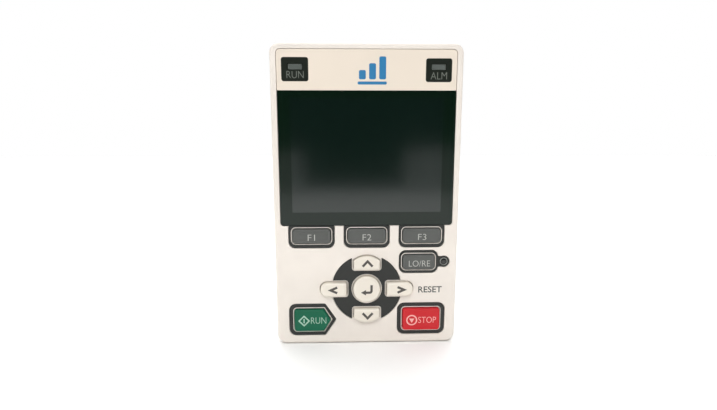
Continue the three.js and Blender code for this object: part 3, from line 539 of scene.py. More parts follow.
# The display lies behind the clear part of the sheet, so the viewing area mirrors twice: on the
# sheet, and on the display's own glass behind it. It looks a little greyer than the border.
header_print = printed_acrylic("acrylic_over_cream_ink", "#ece0d1", 0.22)
border_print = printed_acrylic("acrylic_over_border_ink", "#0a1a11", 0.12, IOR=1.42)
viewing_area = printed_acrylic(
    "acrylic_over_display", "#0a1914", 0.14, IOR=1.42,
    **{"Coat Weight": 1.0, "Coat Roughness": 0.12, "Coat IOR": 1.4})
finish_piece(sheet, "lens_sheet", header_print, "case", ["display_lens"])
sheet.data.materials.append(border_print)
sheet.data.materials.append(viewing_area)
VIEW_HALF = 26.0
VIEW_LOW = 48.9
VIEW_HIGH = 88.0
across_x = [((x * MM, 0, 0), (1, 0, 0)) for x in (-VIEW_HALF, VIEW_HALF)]
across_z = [((0, 0, (z + LOWER_EDGE) * MM), (0, 0, 1)) for z in (HEADER_LOW, VIEW_LOW, VIEW_HIGH)]
split = bmesh.new()
split.from_mesh(sheet.data)
for place, direction in across_z + across_x:
    bmesh.ops.bisect_plane(
        split, geom=[*split.verts, *split.edges, *split.faces], plane_co=place, plane_no=direction)
for face in split.faces:
    middle = face.calc_center_median() / MM
    tall = middle.z - LOWER_EDGE
    if tall < HEADER_LOW:
        face.material_index = 1
    if abs(middle.x) < VIEW_HALF and VIEW_LOW < tall < VIEW_HIGH:
        face.material_index = 2
split.to_mesh(sheet.data)
split.free()

black_print = printed_acrylic("acrylic_over_black_ink", "#1b201a", 0.3)
PRINT_PROUD = 0.02
WINDOW_R = 0.8
print_y = lens_low.y - PRINT_PROUD
for name, pipe, x, reach, low, high in (
    ("run_window", "run_light_pipe", -24.1, 4.5, 93.4, 101.2),
    ("alarm_window", "alarm_light_pipe", 24.1, 4.4, 93.25, 100.95),
):
    plate = solid_of(
        name, block(x - reach, x + reach, low, high, WINDOW_R),
        [(-0.02, print_y), (0, print_y + 0.02), (0, print_y + 0.3)])
    slot_stations = [(PIPE_FIT, print_y - BEYOND), (PIPE_FIT, print_y + BEYOND)]
    cut(plate, solid_of("pipe_slot", node_block(pipe, 0, PIPE_R), slot_stations))
    finish_piece(plate, name, black_print, "case", [])


# Screen ink: an even matt film a few hundredths of a millimetre thick.
FILM = 0.04


def ink(name, shade, roughness=0.5):
    return moulded(name, shade, roughness, grain=0.2, relief=0.001, mottle=0.02)


def legend(name, words, x, z, tall, y, material, body, slot, stretch=1.0, weight=-0.012):
    """Generic words as a thin printed film, by their middle and the height of their capitals."""
    writing = bpy.data.curves.new(name, "FONT")
    writing.body = words
    writing.offset = weight
    writing.extrude = 0.01
    writing.resolution_u = 4
    holder = linked(name, writing)
    mesh = evaluated_mesh(holder)
    bpy.data.objects.remove(holder)
    across = [v.co.x for v in mesh.vertices]
    upward = [v.co.y for v in mesh.vertices]
    size = tall / (max(upward) - min(upward))
    middle_x = (max(across) + min(across)) / 2
    middle_z = (max(upward) + min(upward)) / 2
    for v in mesh.vertices:
        depth = y if v.co.z > 0 else y + FILM
        v.co = Vector((
            x + (v.co.x - middle_x) * size * stretch,
            depth,
            z + (v.co.y - middle_z) * size + LOWER_EDGE,
        )) * MM
    shape = bmesh.new()
    shape.from_mesh(mesh)
    bmesh.ops.remove_doubles(shape, verts=shape.verts, dist=0.002 * MM)
    shape.to_mesh(mesh)
    shape.free()
    return finish_piece(linked(name, mesh), name, material, body, [])


window_ink = ink("grey_window_ink", "#757a72")
for words, x, z in (("RUN", -24.0, 95.55), ("ALM", 24.1, 95.3)):
    legend(f"{words.lower()}_window_legend", words, x, z, 2.3, print_y - 0.02, window_ink,
           "case", "lens_sheet", 0.86)


def film(name, points, y, material, body, slot, back=FILM):
    """A flat print of one outline, with its face at a depth."""
    part = solid_of(name, lambda grow: points, [(0, y), (0, y + back)])
    return finish_piece(part, name, material, body, [])


def ribbon(points, thick):
    """The outline of a stroke of even thickness along some points."""
    left, right = [], []
    for i, (x, z) in enumerate(points):
        here = Vector((x, z))
        before = (here - Vector(points[max(i - 1, 0)])).normalized()
        after = (Vector(points[min(i + 1, len(points) - 1)]) - here).normalized()
        if i == 0:
            before = after
        if i == len(points) - 1:
            after = before
        first = Vector((before.y, -before.x))
        last = Vector((after.y, -after.x))
        mitre = (first + last) / (1 + first.dot(last)) * thick / 2
        left.append(tuple(here + mitre))
        right.append(tuple(here - mitre))
    return left + right[::-1]


# The mark is a plain row of three rising bars over a base line, in blue ink.
blue_ink = ink("blue_ink", "#2478ab")
BAR_LOW = 94.1
BAR_PITCH = 3.4
BAR_HALF = 1.15
FIRST_BAR = -1.6
for i, tall in enumerate((3.0, 5.2, 7.4)):
    x = FIRST_BAR + BAR_PITCH * i
    bar = block(x - BAR_HALF, x + BAR_HALF, BAR_LOW, BAR_LOW + tall, 0.5, 4)(0)
    film(f"mark_bar_{i + 1}", bar, print_y, blue_ink, "case", "lens_sheet")
base = block(-3.2, 6.6, 92.4, 93.4, 0.4, 4)(0)
film("mark_base", base, print_y, blue_ink, "case", "lens_sheet")

# ---------------------------------------------------------------- status lights
# Clear-grey polycarbonate pipes carry the light of three chip lights on the board to the front.
# Unlit, they look a dull mid grey. The round lamp has a pale rim standing round its dark lens.

pipe_grey = moulded(
    "frosted_polycarbonate", "#5d635f", 0.3, grain=0.5, relief=0.002, mottle=0.05,
    **{"Transmission Weight": 0.1})
PIPE_PROUD = 0.04
for node in status_pipes:
    low, high = box_mm(node)
    pipe_stations = soft_edge(low.y - PIPE_PROUD, 0.15, 3) + [(0, high.y)]
    pipe = solid_of(node, node_block(node, 0, PIPE_R, 4), pipe_stations)
    finish_piece(pipe, f"{node}_lens", pipe_grey, "case", [node])

LAMP_LENS_R = 1.15
LAMP_RIM_R = 1.32
LAMP_STEP = LAMP_R - LAMP_LENS_R
smoked = moulded(
    "smoked_polycarbonate", "#232624", 0.16, grain=0.5, relief=0.001, mottle=0.05,
    **{"Transmission Weight": 0.08})
lamp = solid_of(
    "lamp_lens", round_one(lamp_x, lamp_z, LAMP_LENS_R),
    [(-0.85, lamp_low.y + 0.02), (-0.6, lamp_low.y + 0.04), (-0.3, lamp_low.y + 0.1),
     (0, lamp_low.y + 0.22), (0, front_y + 0.4), (LAMP_STEP, front_y + 0.45),
     (LAMP_STEP, lamp_high.y)])
finish_piece(lamp, "remote_lamp_lens", smoked, "case", ["remote_light_pipe"])
lamp_rim = solid_of(
    "lamp_rim", round_one(lamp_x, lamp_z, LAMP_RIM_R),
    soft_edge(lamp_low.y, 0.1, 3) + [(0, front_y + 0.38)])
cut(lamp_rim, solid_of(
    "lamp_opening", round_one(lamp_x, lamp_z, LAMP_LENS_R + 0.02),
    mouth(lamp_low.y, 0.08) + [(0, front_y + BEYOND)]))
rim_grey = moulded("pale_grey_rim", "#a9aba6", 0.45, mottle=0.03)
finish_piece(lamp_rim, "remote_lamp_rim", rim_grey, "case", [])

# ---------------------------------------------------------------- key frames and pad disc
# Satin charcoal ABS frames, pressed into the case's recesses. Each has an opening that fits
# over the rim of its key; the pad's round disc has one for each of its five keys.

charcoal_trim = moulded("charcoal_satin_abs", "#1e201d", 0.5, mottle=0.05)
disc_low, disc_high = box_mm("pad_disc")
pad_keys = ["up_key", "down_key", "left_key", "right_key", "enter_key"]
frame_keys = {
    "f1_bezel": ["f1_key"],
    "f2_bezel": ["f2_key"],
    "f3_bezel": ["f3_key"],
    "local_remote_bezel": ["local_remote_key"],
    "run_bezel": ["run_key"],
    "stop_bezel": ["stop_key"],
    "pad_disc": pad_keys,
}
RIM_FIT = 0.05 - RIM_INSET
past_frames = front_y + 3
stations = soft_edge(disc_low.y, 0.15, 3) + [(0, disc_high.y)]
over_rim = widened(mouth(disc_low.y, 0.1), RIM_FIT) + [(RIM_FIT, past_frames)]
for node, openings in frame_keys.items():
    key_frame = solid_of(node, frame_outlines[node], stations)
    if node == "local_remote_bezel":
        join(key_frame, solid_of("lamp_boss", lamp_boss, stations))
        join(key_frame, solid_of("lamp_neck", lamp_neck, stations))
        hole_stations = [(0.06, front_y - BEYOND), (0.06, past_frames)]
        cut(key_frame, solid_of("lamp_hole", lamp_hole, hole_stations))
    for key in openings:
        cut(key_frame, solid_of("opening", rim_outlines[key], over_rim))
    finish_piece(key_frame, f"{node}_frame", charcoal_trim, "case", [node])

# ---------------------------------------------------------------- keycaps
# Keycaps of satin ABS, moulded through in their own colours. F1 to F3, local/remote, run and
# stop are flat and dished inside a thin rim; the five of the pad have one wide soft edge.

DISH_RIM = 0.5
DISH = 0.2
CAP_EDGE = -RIM - KEY_GAP


def body_of(node):
    return node.replace("_key", "_button")


def welded_copy(node, name, flatten=False):
    """A copy of a CAD node with its split points welded, and with flat faces made whole."""
    part = linked(name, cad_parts[node].data.copy())
    shape = bmesh.new()
    shape.from_mesh(part.data)
    weld(shape)
    if flatten:
        bmesh.ops.dissolve_limit(
            shape, angle_limit=math.radians(1), verts=shape.verts, edges=shape.edges)
    shape.to_mesh(part.data)
    shape.free()
    return part


def behind(node, y):
    """The part of a CAD solid behind a depth: here a key's flange and plunger."""
    keep = solid_of("keep", node_block(node, 1, 0.1), [(0, y), (0, box_mm(node)[1].y + 1)])
    return combine(welded_copy(node, f"{node}_back"), keep, "INTERSECT")


def keycap(node, material, edge_stations):
    """A cap with a shaped front, on the flange and plunger of its CAD solid."""
    front = widened(edge_stations(box_mm(node)[0].y), CAP_EDGE)
    cap = solid_of(node, key_outlines[node], front + [(CAP_EDGE, inner_front_y + 0.9)])
    join(cap, behind(node, inner_front_y + 0.05))
    return finish_piece(cap, f"{node}_cap", material, body_of(node), [node])


def dished_edge(front):
    floor = [
        (-DISH_RIM - 0.3, front + DISH),
        (-DISH_RIM - 0.12, front + DISH * 0.7),
        (-DISH_RIM, front + 0.03),
    ]
    return floor + soft_edge(front, 0.3, 4)


def crowned_edge(front):
    return soft_edge(front + 0.02, 1.05, 7, rise=0.75)


grey_abs = moulded("grey_key_abs", "#525451", 0.42, mottle=0.04)
white_abs = moulded("white_key_abs", "#e9e1d4", 0.38, grain=0.4, relief=0.002, mottle=0.015)
soft_gloss = {"Specular IOR Level": 0.25}
green_abs = moulded("green_key_abs", "#0c6347", 0.4, mottle=0.05, **soft_gloss)
red_abs = moulded("red_key_abs", "#cb262d", 0.4, mottle=0.04, **soft_gloss)

for node in grey_keys:
    keycap(node, grey_abs, dished_edge)
keycap("run_key", green_abs, dished_edge)
keycap("stop_key", red_abs, dished_edge)
for node in pad_keys:
    keycap(node, white_abs, crowned_edge)

# ---------------------------------------------------------------- key legends
# Function words and arrows pad-printed on the keys, and one word on the case beside the pad.

pale_ink = ink("pale_ink", "#b9bab4")
mint_ink = ink("mint_ink", "#a5c9b6")
pink_ink = ink("pink_ink", "#f3b5b0")
brown_ink = ink("brown_grey_ink", "#4d4843")
case_ink = ink("grey_ink_on_case", "#474b47")

in_dish = DISH - PRINT_PROUD
SOFT_LEGEND_STEP = 0.1  # each soft key's legend stands a little further right than the last
for i, node in enumerate(soft_keys):
    low, high = box_mm(node)
    x = (low.x + high.x) / 2 + SOFT_LEGEND_STEP * (i - 0.5)
    legend(f"f{i + 1}_legend", f"F{i + 1}", x, 39.95, 2.2, low.y + in_dish, pale_ink,
           body_of(node), "key_grey", 1.13)
remote_face = box_mm("local_remote_key")[0].y + in_dish
legend("local_remote_legend", "LO/RE", 18.9, 30.2, 2.2, remote_face, pale_ink,
       "local_remote_button", "key_grey", 0.91)
legend("reset_legend", "RESET", 23.0, 20.3, 2.35, front_y - PRINT_PROUD, case_ink,
       "case", "case_cream", 1.02, 0.014)

main_face = stop_low.y + in_dish
run_print = (main_face, mint_ink, "run_button", "key_green")
stop_print = (main_face, pink_ink, "stop_button", "key_red")
legend("run_legend", "RUN", -17.45, 9.2, 2.4, *run_print, 0.8)
legend("stop_legend", "STOP", 22.1, 8.95, 2.3, *stop_print, 0.82)


def ring_film(name, outer, inner, y, material, body, slot):
    part = solid_of(name, outer, [(0, y), (0, y + FILM)])
    cut(part, solid_of("middle", inner, [(0, y - BEYOND), (0, y + BEYOND)]))
    return finish_piece(part, name, material, body, [])


def diamond(x, z, r):
    return rounded([(x, z - r, 0.2), (x + r, z, 0.2), (x, z + r, 0.2), (x - r, z, 0.2)], 4)


RUN_ICON = (-22.7, 9.1)
STOP_ICON = (16.45, 8.9)
x, z = RUN_ICON
ring_film("run_icon_frame", diamond(x, z, 2.15), diamond(x, z, 1.5), *run_print)
film("run_icon_bar", block(x - 0.2, x + 0.2, z - 0.85, z + 0.85, 0.1, 3)(0), *run_print)
x, z = STOP_ICON
ring_film("stop_icon_frame", round_one(x, z, 2.0), round_one(x, z, 1.55), *stop_print)
film("stop_icon_triangle", [(x - 0.95, z + 0.6), (x, z - 1.05), (x + 0.95, z + 0.6)], *stop_print)

STROKE = 0.85
SUNK = 0.3  # these prints reach into the crowned caps, so that no edge of theirs floats
pad_face = box_mm("up_key")[0].y + 0.005
chevrons = {
    "up": [(-1.5, 29.6), (0.25, 31.5), (2.0, 29.6)],
    "down": [(-1.5, 12.15), (0.3, 10.2), (2.1, 12.15)],
    "left": [(-10.6, 21.95), (-12.95, 20.9), (-10.6, 19.85)],
    "right": [(11.0, 21.9), (13.35, 20.85), (11.0, 19.8)],
}
for name, points in chevrons.items():
    film(f"{name}_chevron", ribbon(points, STROKE), pad_face, brown_ink, f"{name}_button",
         "key_white", SUNK)
enter_print = (enter_low.y + 0.005, brown_ink, "enter_button", "key_white", SUNK)
BEND_R = 0.7
turns = [math.radians(a) for a in range(0, -91, -15)]
bend = [(1.0 + BEND_R * math.cos(a), 20.5 + BEND_R * math.sin(a)) for a in turns]
film("enter_arrow_stem", ribbon([(1.7, 22.6), *bend, (-0.4, 19.8)], STROKE), *enter_print)
film("enter_arrow_head", [(-2.1, 19.8), (-0.3, 18.8), (-0.3, 20.8)], *enter_print)

# ---------------------------------------------------------------- inside: mat, display and board
# The silicone key mat, the display in its white holder, the circuit board and its parts. They
# are hidden when the keypad is closed, and are simple CAD solids with their own finishes.


def dress(node, material):
    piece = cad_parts[node]
    piece.data.materials.clear()
    piece.data.materials.append(material)


black_nylon = moulded("black_glass_filled_nylon", "#1d1e1f", 0.5, grain=0.25, relief=0.008)
led_silicone = moulded("phosphor_silicone", "#ecdfa4", 0.35, grain=0.5, relief=0.002)


# Green solder resist over copper: semi-gloss, with straight tracks showing as a lighter pattern.
def solder_resist(name):
    material, tree, place = surface(name)
    turned = add_node(tree, "ShaderNodeMapping", {
        "Vector": place,
        "Rotation": (math.radians(90), 0, 0),
    })
    tracks = add_node(tree, "ShaderNodeTexBrick", {
        "Vector": turned.outputs["Vector"],
        "Color1": linear("#1a5434"),
        "Color2": linear("#1d5a38"),
        "Mortar": linear("#2f7a4f"),
        "Scale": 1.0,
        "Mortar Size": 0.15 * MM,
        "Brick Width": 7 * MM,
        "Row Height": 1.1 * MM,
    })
    bump = add_node(tree, "ShaderNodeBump", {
        "Height": tracks.outputs["Fac"],
        "Distance": 0.03 * MM,
    })
    shader = add_node(tree, "ShaderNodeBsdfPrincipled", {
        "Base Color": tracks.outputs["Color"],
        "Roughness": 0.35,
        "Normal": bump.outputs["Normal"],
    })
    finished(tree, shader)
    return material


# Stamped or turned metal: bright, with fine drawing lines 0.2 mm apart along one direction.
def drawn_metal(name, shade, roughness, along=(1, 1, 0.1), pitch=0.2):
    material, tree, place = surface(name)
    pulled = add_node(tree, "ShaderNodeMapping", {"Vector": place, "Scale": along})
    lines = add_node(tree, "ShaderNodeTexNoise", {
        "Vector": pulled.outputs["Vector"],
        "Scale": 1 / (pitch * MM),
        "Detail": 2.0,
    })
    ramp = add_node(tree, "ShaderNodeValToRGB", {"Fac": lines.outputs["Fac"]})
    set_tones(ramp, shade, 0.9, 1.05)
    rough = add_node(tree, "ShaderNodeMapRange", {
        "Value": lines.outputs["Fac"],
        "To Min": roughness - 0.06,
        "To Max": roughness + 0.08,
    })
    bump = add_node(tree, "ShaderNodeBump", {
        "Height": lines.outputs["Fac"],
        "Distance": 0.002 * MM,
    })
    shader = add_node(tree, "ShaderNodeBsdfPrincipled", {
        "Base Color": ramp.outputs["Color"],
        "Roughness": rough.outputs["Result"],
        "Normal": bump.outputs["Normal"],
        "Metallic": 1.0,
    })
    finished(tree, shader)
    return material


nickel_plate = drawn_metal("nickel_plated_steel", "#bfc1c2", 0.3)
dress("key_mat", moulded("grey_silicone_rubber", "#bdbfb8", 0.75, grain=0.5, relief=0.004))
dress("lcd_holder", moulded("white_moulded_abs", "#dfe0dc", 0.5))
dress("backlight_panel", moulded("diffuser_film", "#e9ecee", 0.35, grain=0.2, relief=0.002))
dress("lcd_glass", printed_acrylic("display_glass", "#26302c", 0.08))
dress("lcd_flex", moulded(
    "amber_polyimide_film", "#b5722a", 0.3, grain=1.2, relief=0.004, mottle=0.1))
dress("flex_connector", black_nylon)
dress("main_board", solder_resist("green_solder_resist"))
dress("processor", moulded("black_epoxy_package", "#202122", 0.6, grain=0.15, relief=0.006))
for node in ("run_led", "alarm_led", "remote_led"):
    dress(node, led_silicone)

# ---------------------------------------------------------------- rear case
# A charcoal ABS moulding: a flange with the front's outline, and a narrower box behind it that
# drops into the drive's opening. Its edges are slightly broken, as a mould leaves them.


def eased(node, name, material, body, radius, sharp=40):
    """A CAD solid with its edges eased."""
    part = welded_copy(node, name, flatten=True)
    ease = part.modifiers.new("ease", "BEVEL")
    ease.width = radius * MM
    ease.segments = 2
    ease.limit_method = "ANGLE"
    ease.angle_limit = math.radians(50)
    part.data = evaluated_mesh(part)
    part.modifiers.clear()
    return finish_piece(part, name, material, body, [node], sharp)


charcoal_abs = moulded(
    "charcoal_textured_abs", "#323535", 0.55, grain=0.35, relief=0.01, mottle=0.05)
eased("rear_case", "rear_case_shell", charcoal_abs, "case", 0.12)

# ---------------------------------------------------------------- network jack and its contacts
# A black nylon jack with eight gold-plated spring wires. The wires rise from the floor of the
# mouth and slope back into it, side by side at 1.02 mm.

eased("rj45_jack", "rj45_jack_body", black_nylon, "case", 0.1)
gold_plate = drawn_metal("gold_plated_phosphor_bronze", "#d9b25a", 0.25)


def geometry_tree(name, sizes):
    """A Geometry Nodes tree with named inputs for its sizes."""
    tree = bpy.data.node_groups.new(name, "GeometryNodeTree")
    tree.interface.new_socket("Geometry", in_out="INPUT", socket_type="NodeSocketGeometry")
    for label, kind in sizes.items():
        tree.interface.new_socket(label, in_out="INPUT", socket_type=kind)
    tree.interface.new_socket("Geometry", in_out="OUTPUT", socket_type="NodeSocketGeometry")
    return tree, tree.nodes.new("NodeGroupInput")


def end_tree(tree, geometry, material):
    real = add_node(tree, "GeometryNodeRealizeInstances", {"Geometry": geometry})
    faced = add_node(tree, "GeometryNodeSetMaterial", {
        "Geometry": real.outputs[0],
        "Material": material,
    })
    add_node(tree, "NodeGroupOutput", {"Geometry": faced.outputs[0]})


def grown(name, tree, values, points=()):
    """The plain mesh that a tree makes from its sizes, and from some places if it needs them."""
    seed = bpy.data.meshes.new(name)
    seed.from_pydata([tuple(Vector(p) * MM) for p in points], [], [])
    part = linked(name, seed)
    step = part.modifiers.new("tree", "NODES")
    step.node_group = tree
    for item in tree.interface.items_tree:
        if item.item_type == "SOCKET" and item.in_out == "INPUT" and item.name in values:
            step[item.identifier] = values[item.name]
    part.data = evaluated_mesh(part)
    part.modifiers.clear()
    return part


FLOAT = "NodeSocketFloat"
WHOLE = "NodeSocketInt"
PLACE = "NodeSocketVector"

wires, given = geometry_tree("spring_wires", {
    "Wires": WHOLE,
    "Pitch": FLOAT,
    "Wire Radius": FLOAT,
    "First": PLACE,
    "Foot": PLACE,
    "Knee": PLACE,
    "Tip": PLACE,
})
step_across = add_node(wires, "ShaderNodeCombineXYZ", {"X": given.outputs["Pitch"]})
row = add_node(wires, "GeometryNodeMeshLine", {
    "Count": given.outputs["Wires"],
    "Start Location": given.outputs["First"],
    "Offset": step_across.outputs[0],
})
spring = add_node(wires, "GeometryNodeCurveQuadraticBezier", {
    "Resolution": 10,
    "Start": given.outputs["Foot"],
    "Middle": given.outputs["Knee"],
    "End": given.outputs["Tip"],
})
wire_section = add_node(wires, "GeometryNodeCurvePrimitiveCircle", {
    "Resolution": 10,
    "Radius": given.outputs["Wire Radius"],
})
wire = add_node(wires, "GeometryNodeCurveToMesh", {
    "Curve": spring.outputs[0],
    "Profile Curve": wire_section.outputs[0],
    "Fill Caps": True,
})
placed = add_node(wires, "GeometryNodeInstanceOnPoints", {
    "Points": row.outputs[0],
    "Instance": wire.outputs[0],
})
end_tree(wires, placed.outputs[0], gold_plate)

WIRES = 8
WIRE_PITCH = 1.02
mouth_top = box_mm("rj45_jack")[1].z - 2.2
contacts = grown("jack_contacts", wires, {
    "Wires": WIRES,
    "Pitch": WIRE_PITCH * MM,
    "Wire Radius": 0.2 * MM,
    "First": (-(WIRES - 1) / 2 * WIRE_PITCH * MM, 0.0, mouth_top * MM),
    "Foot": (0.0, -2.6 * MM, -0.3 * MM),
    "Knee": (0.0, -3.6 * MM, -1.4 * MM),
    "Tip": (0.0, -8.6 * MM, -3.2 * MM),
})
finish_piece(contacts, "jack_contacts", gold_plate, "case", [])

# ---------------------------------------------------------------- service socket
# A stamped shell of nickel-plated steel in the left wall, with its tongue inside.

eased("usb_socket", "service_socket_shell", nickel_plate, "case", 0.08)

# ---------------------------------------------------------------- battery, contacts and cover
# A lithium coin cell between two sprung steel contacts, under a charcoal cover that slides
# out at the top. A rounded hollow in the cover, with five small ribs, gives the thumb a grip.

cell_steel = drawn_metal("stainless_steel_cell", "#c4c5c5", 0.28, along=(1, 1, 1), pitch=0.5)
dress("coin_cell", cell_steel)
dress("battery_contact_negative", nickel_plate)
dress("battery_contact_positive", nickel_plate)
eased("battery_cover", "battery_cover_slide", charcoal_abs, "battery_door", 0.12)

ribs, given = geometry_tree("thumb_ribs", {
    "Ribs": WHOLE,
    "Pitch": FLOAT,
    "Length": FLOAT,
    "Rib Radius": FLOAT,
    "Lowest": PLACE,
})
step_up = add_node(ribs, "ShaderNodeCombineXYZ", {"Z": given.outputs["Pitch"]})
row = add_node(ribs, "GeometryNodeMeshLine", {
    "Count": given.outputs["Ribs"],
    "Start Location": given.outputs["Lowest"],
    "Offset": step_up.outputs[0],
})
rod = add_node(ribs, "GeometryNodeMeshUVSphere", {
    "Segments": 16, "Rings": 12, "Radius": given.outputs["Rib Radius"]})
stretched = add_node(ribs, "ShaderNodeMath", {
    0: given.outputs["Length"],
    1: given.outputs["Rib Radius"],
}, operation="DIVIDE")
halved = add_node(ribs, "ShaderNodeMath", {0: stretched.outputs[0], 1: 0.5}, operation="MULTIPLY")
long_way = add_node(ribs, "ShaderNodeCombineXYZ", {"X": halved.outputs[0], "Y": 1.0, "Z": 1.0})
placed = add_node(ribs, "GeometryNodeInstanceOnPoints", {
    "Points": row.outputs[0],
    "Instance": rod.outputs[0],
    "Scale": long_way.outputs[0],
})
end_tree(ribs, placed.outputs[0], charcoal_abs)
RIBS = 5
RIB_PITCH = 1.3
cell_low, cell_high = box_mm("coin_cell")
grip_z = (cell_low.z + cell_high.z) / 2 + 2
lowest_rib = grip_z - (RIBS - 1) / 2 * RIB_PITCH
grip = grown("cover_grip_ribs", ribs, {
    "Ribs": RIBS,
    "Pitch": RIB_PITCH * MM,
    "Length": 9 * MM,
    "Rib Radius": 0.3 * MM,
    "Lowest": (0.0, -0.42 * MM, lowest_rib * MM),
})
finish_piece(grip, "cover_grip_ribs", charcoal_abs, "battery_door", [])

# ---------------------------------------------------------------- case screws
# Four self-tapping pan-head screws of plated steel, with a cross recess, deep in their holes.

for i, node in enumerate(screw_nodes):
    eased(node, f"pan_head_screw_{i + 1}", nickel_plate, "case", 0.15)

threads, given = geometry_tree("screw_threads", {
    "Turns": FLOAT,
    "Radius": FLOAT,
    "Length": FLOAT,
    "Ridge": FLOAT,
})
coil = add_node(threads, "GeometryNodeCurveSpiral", {
    "Resolution": 20,
    "Rotations": given.outputs["Turns"],
    "Start Radius": given.outputs["Radius"],
    "End Radius": given.outputs["Radius"],
    "Height": given.outputs["Length"],
})
ridge = add_node(threads, "GeometryNodeCurvePrimitiveCircle", {
    "Resolution": 4,
    "Radius": given.outputs["Ridge"],
})
thread = add_node(threads, "GeometryNodeCurveToMesh", {
    "Curve": coil.outputs[0],
    "Profile Curve": ridge.outputs[0],
    "Fill Caps": True,
})
laid = add_node(threads, "GeometryNodeTransform", {
    "Geometry": thread.outputs[0],
    "Rotation": (math.radians(90), 0, 0),
})
placed = add_node(threads, "GeometryNodeInstanceOnPoints", {
    "Points": given.outputs["Geometry"],
    "Instance": laid.outputs[0],
})
end_tree(threads, placed.outputs[0], nickel_plate)

# ---------------------------------------------------------------- threaded inserts
# Two brass inserts, pressed into the rear case, take the screws that hold the keypad to a panel.
# A fine thread runs down each bore.

brass = drawn_metal("turned_brass", "#c9a24e", 0.28)
insert_points = []
for i in (1, 2):
    node = f"threaded_insert_{i}"
    eased(node, f"brass_insert_{i}", brass, "case", 0.1)
    low, high = box_mm(node)
    insert_points.append(((low.x + high.x) / 2, high.y - 0.3, (low.z + high.z) / 2))
insert_thread = grown("insert_threads", threads, {
    "Turns": 6.0,
    "Radius": 1.24 * MM,
    "Length": 3.3 * MM,
    "Ridge": 0.13 * MM,
}, insert_points)
finish_piece(insert_thread, "insert_threads", brass, "case", [])

# ---------------------------------------------------------------- rating label
# A blank silver polyester label in a shallow recess, ruled into rows.

label_film = moulded(
    "silver_polyester_film", "#c3c6c8", 0.32, grain=0.6, relief=0.002, Metallic=0.4)
eased("rating_label", "rating_label_film", label_film, "case", 0.03)
RULE_PITCH = 4.0
RULE_HALF = 0.08
RULE_FILM = 0.03
RULE_MARGIN = 1.5
label_low, label_high = box_mm("rating_label")
rule_ink = ink("black_label_ink", "#2b2c2d")
for i in range(4):
    z = label_low.z - LOWER_EDGE + RULE_PITCH * (i + 1)
    left, right = label_low.x + RULE_MARGIN, label_high.x - RULE_MARGIN
    rule = block(left, right, z - RULE_HALF, z + RULE_HALF, 0.02, 1)(0)
    film(f"label_rule_{i + 1}", rule, label_high.y - RULE_FILM, rule_ink, "case", "label_film",
         RULE_FILM)

# ---------------------------------------------------------------- stage, light and camera
# A plain pale floor under the keypad, which stands on its lower edge, with white beyond it.
# One broad soft light above and in front, a weaker one from each side, and one for the floor.

floor_z = cad_low.z - 0.0002
FLOOR_FRONT = -0.44
FLOOR_BACK = 1.15
STAGE_HALF = 1.15
CARD_Y = -0.416
CARD_REACH = 0.4


def flat_panel(name, corners, material):
    mesh = bpy.data.meshes.new(name)
    mesh.from_pydata(corners, [], [(0, 1, 2, 3)])
    mesh.materials.append(material)
    return linked(name, mesh)


paper = moulded("matt_white_paper", "#f7f7f6", 0.9, grain=2, relief=0.01, mottle=0.005)
floor = flat_panel("pale_floor", [
    (-STAGE_HALF, FLOOR_FRONT, floor_z),
    (STAGE_HALF, FLOOR_FRONT, floor_z),
    (STAGE_HALF, FLOOR_BACK, floor_z),
    (-STAGE_HALF, FLOOR_BACK, floor_z),
], paper)

# Two low grey cards stand in front, left and right. They are only there to be mirrored in the
# lens sheet, as faint upright patches beside the middle of the display.
card_face = moulded("matt_grey_card", "#b4b4b4", 0.9, grain=2, relief=0.01, mottle=0.005)
for name, side, near, tall in (
    ("left_card", -1, 0.059, 0.052),
    ("right_card", 1, 0.066, 0.055),
):
    corners = [(near, 0), (CARD_REACH, 0), (CARD_REACH, tall), (near, tall)]
    card = flat_panel(name, [(side * x, CARD_Y, floor_z + z) for x, z in corners], card_face)
    card.visible_camera = False

scene = bpy.context.scene
scene.view_settings.view_transform = "Standard"

surround = bpy.data.worlds.new("studio")
surround.use_nodes = True
scene.world = surround
tree = surround.node_tree
tree.nodes.clear()
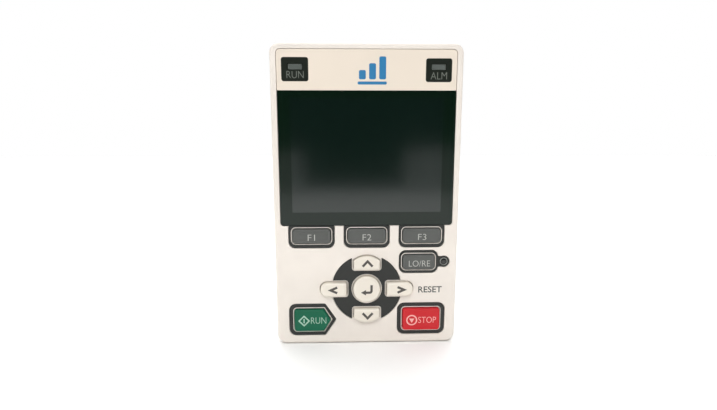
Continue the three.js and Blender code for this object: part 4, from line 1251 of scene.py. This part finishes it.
# The camera sees plain white. The keypad sees a room that is dim in front and lighter behind.
sight = add_node(tree, "ShaderNodeLightPath")
plain = add_node(tree, "ShaderNodeBackground", {"Color": (1, 1, 1, 1), "Strength": 1.0})
toward = add_node(tree, "ShaderNodeTexCoord").outputs["Generated"]
axes = add_node(tree, "ShaderNodeSeparateXYZ", {"Vector": toward})
forward = add_node(tree, "ShaderNodeMapRange", {
    "Value": axes.outputs["Y"],
    "From Min": -0.85,
    "From Max": -0.2,
    "To Min": 0.01,
    "To Max": 0.32,
})
room = add_node(tree, "ShaderNodeBackground", {
    "Color": (1, 1, 1, 1),
    "Strength": forward.outputs["Result"],
})
both = add_node(tree, "ShaderNodeMixShader", {
    0: sight.outputs["Is Camera Ray"],
    1: room.outputs[0],
    2: plain.outputs[0],
})
add_node(tree, "ShaderNodeOutputWorld", {"Surface": both.outputs[0]})


def soft_light(name, place, aim, size, power):
    """A rectangular light at one place, turned to face another, in metres and watts."""
    lamp_data = bpy.data.lights.new(name, "AREA")
    lamp_data.shape = "RECTANGLE"
    lamp_data.size, lamp_data.size_y = size
    lamp_data.energy = power
    light = bpy.data.objects.new(name, lamp_data)
    scene.collection.objects.link(light)
    light.location = place
    light.rotation_euler = (Vector(aim) - Vector(place)).to_track_quat("-Z", "Y").to_euler()


soft_light("top_softbox", (-0.1, -0.75, 0.95), (0, 0, 0), (0.9, 0.6), 10)
soft_light("left_softbox", (-0.55, -0.35, 0.2), (0, 0, 0), (0.35, 0.4), 0.42)
soft_light("right_softbox", (0.55, -0.35, 0.2), (0, 0, 0), (0.35, 0.4), 0.34)
soft_light("floor_softbox", (0, 1.3, 2.2), (0, 1.0, 0), (3.0, 2.6), 75)

camera_data = bpy.data.cameras.new("camera")
camera_data.lens = 22.6
camera_data.sensor_width = 36
camera_data.clip_start = 0.01
camera = bpy.data.objects.new("camera", camera_data)
scene.collection.objects.link(camera)
camera.location = (-0.0076, -0.1722, 0.0244)
camera.rotation_euler = [math.radians(a) for a in (80.53, 0.04, -1.73)]
scene.camera = camera
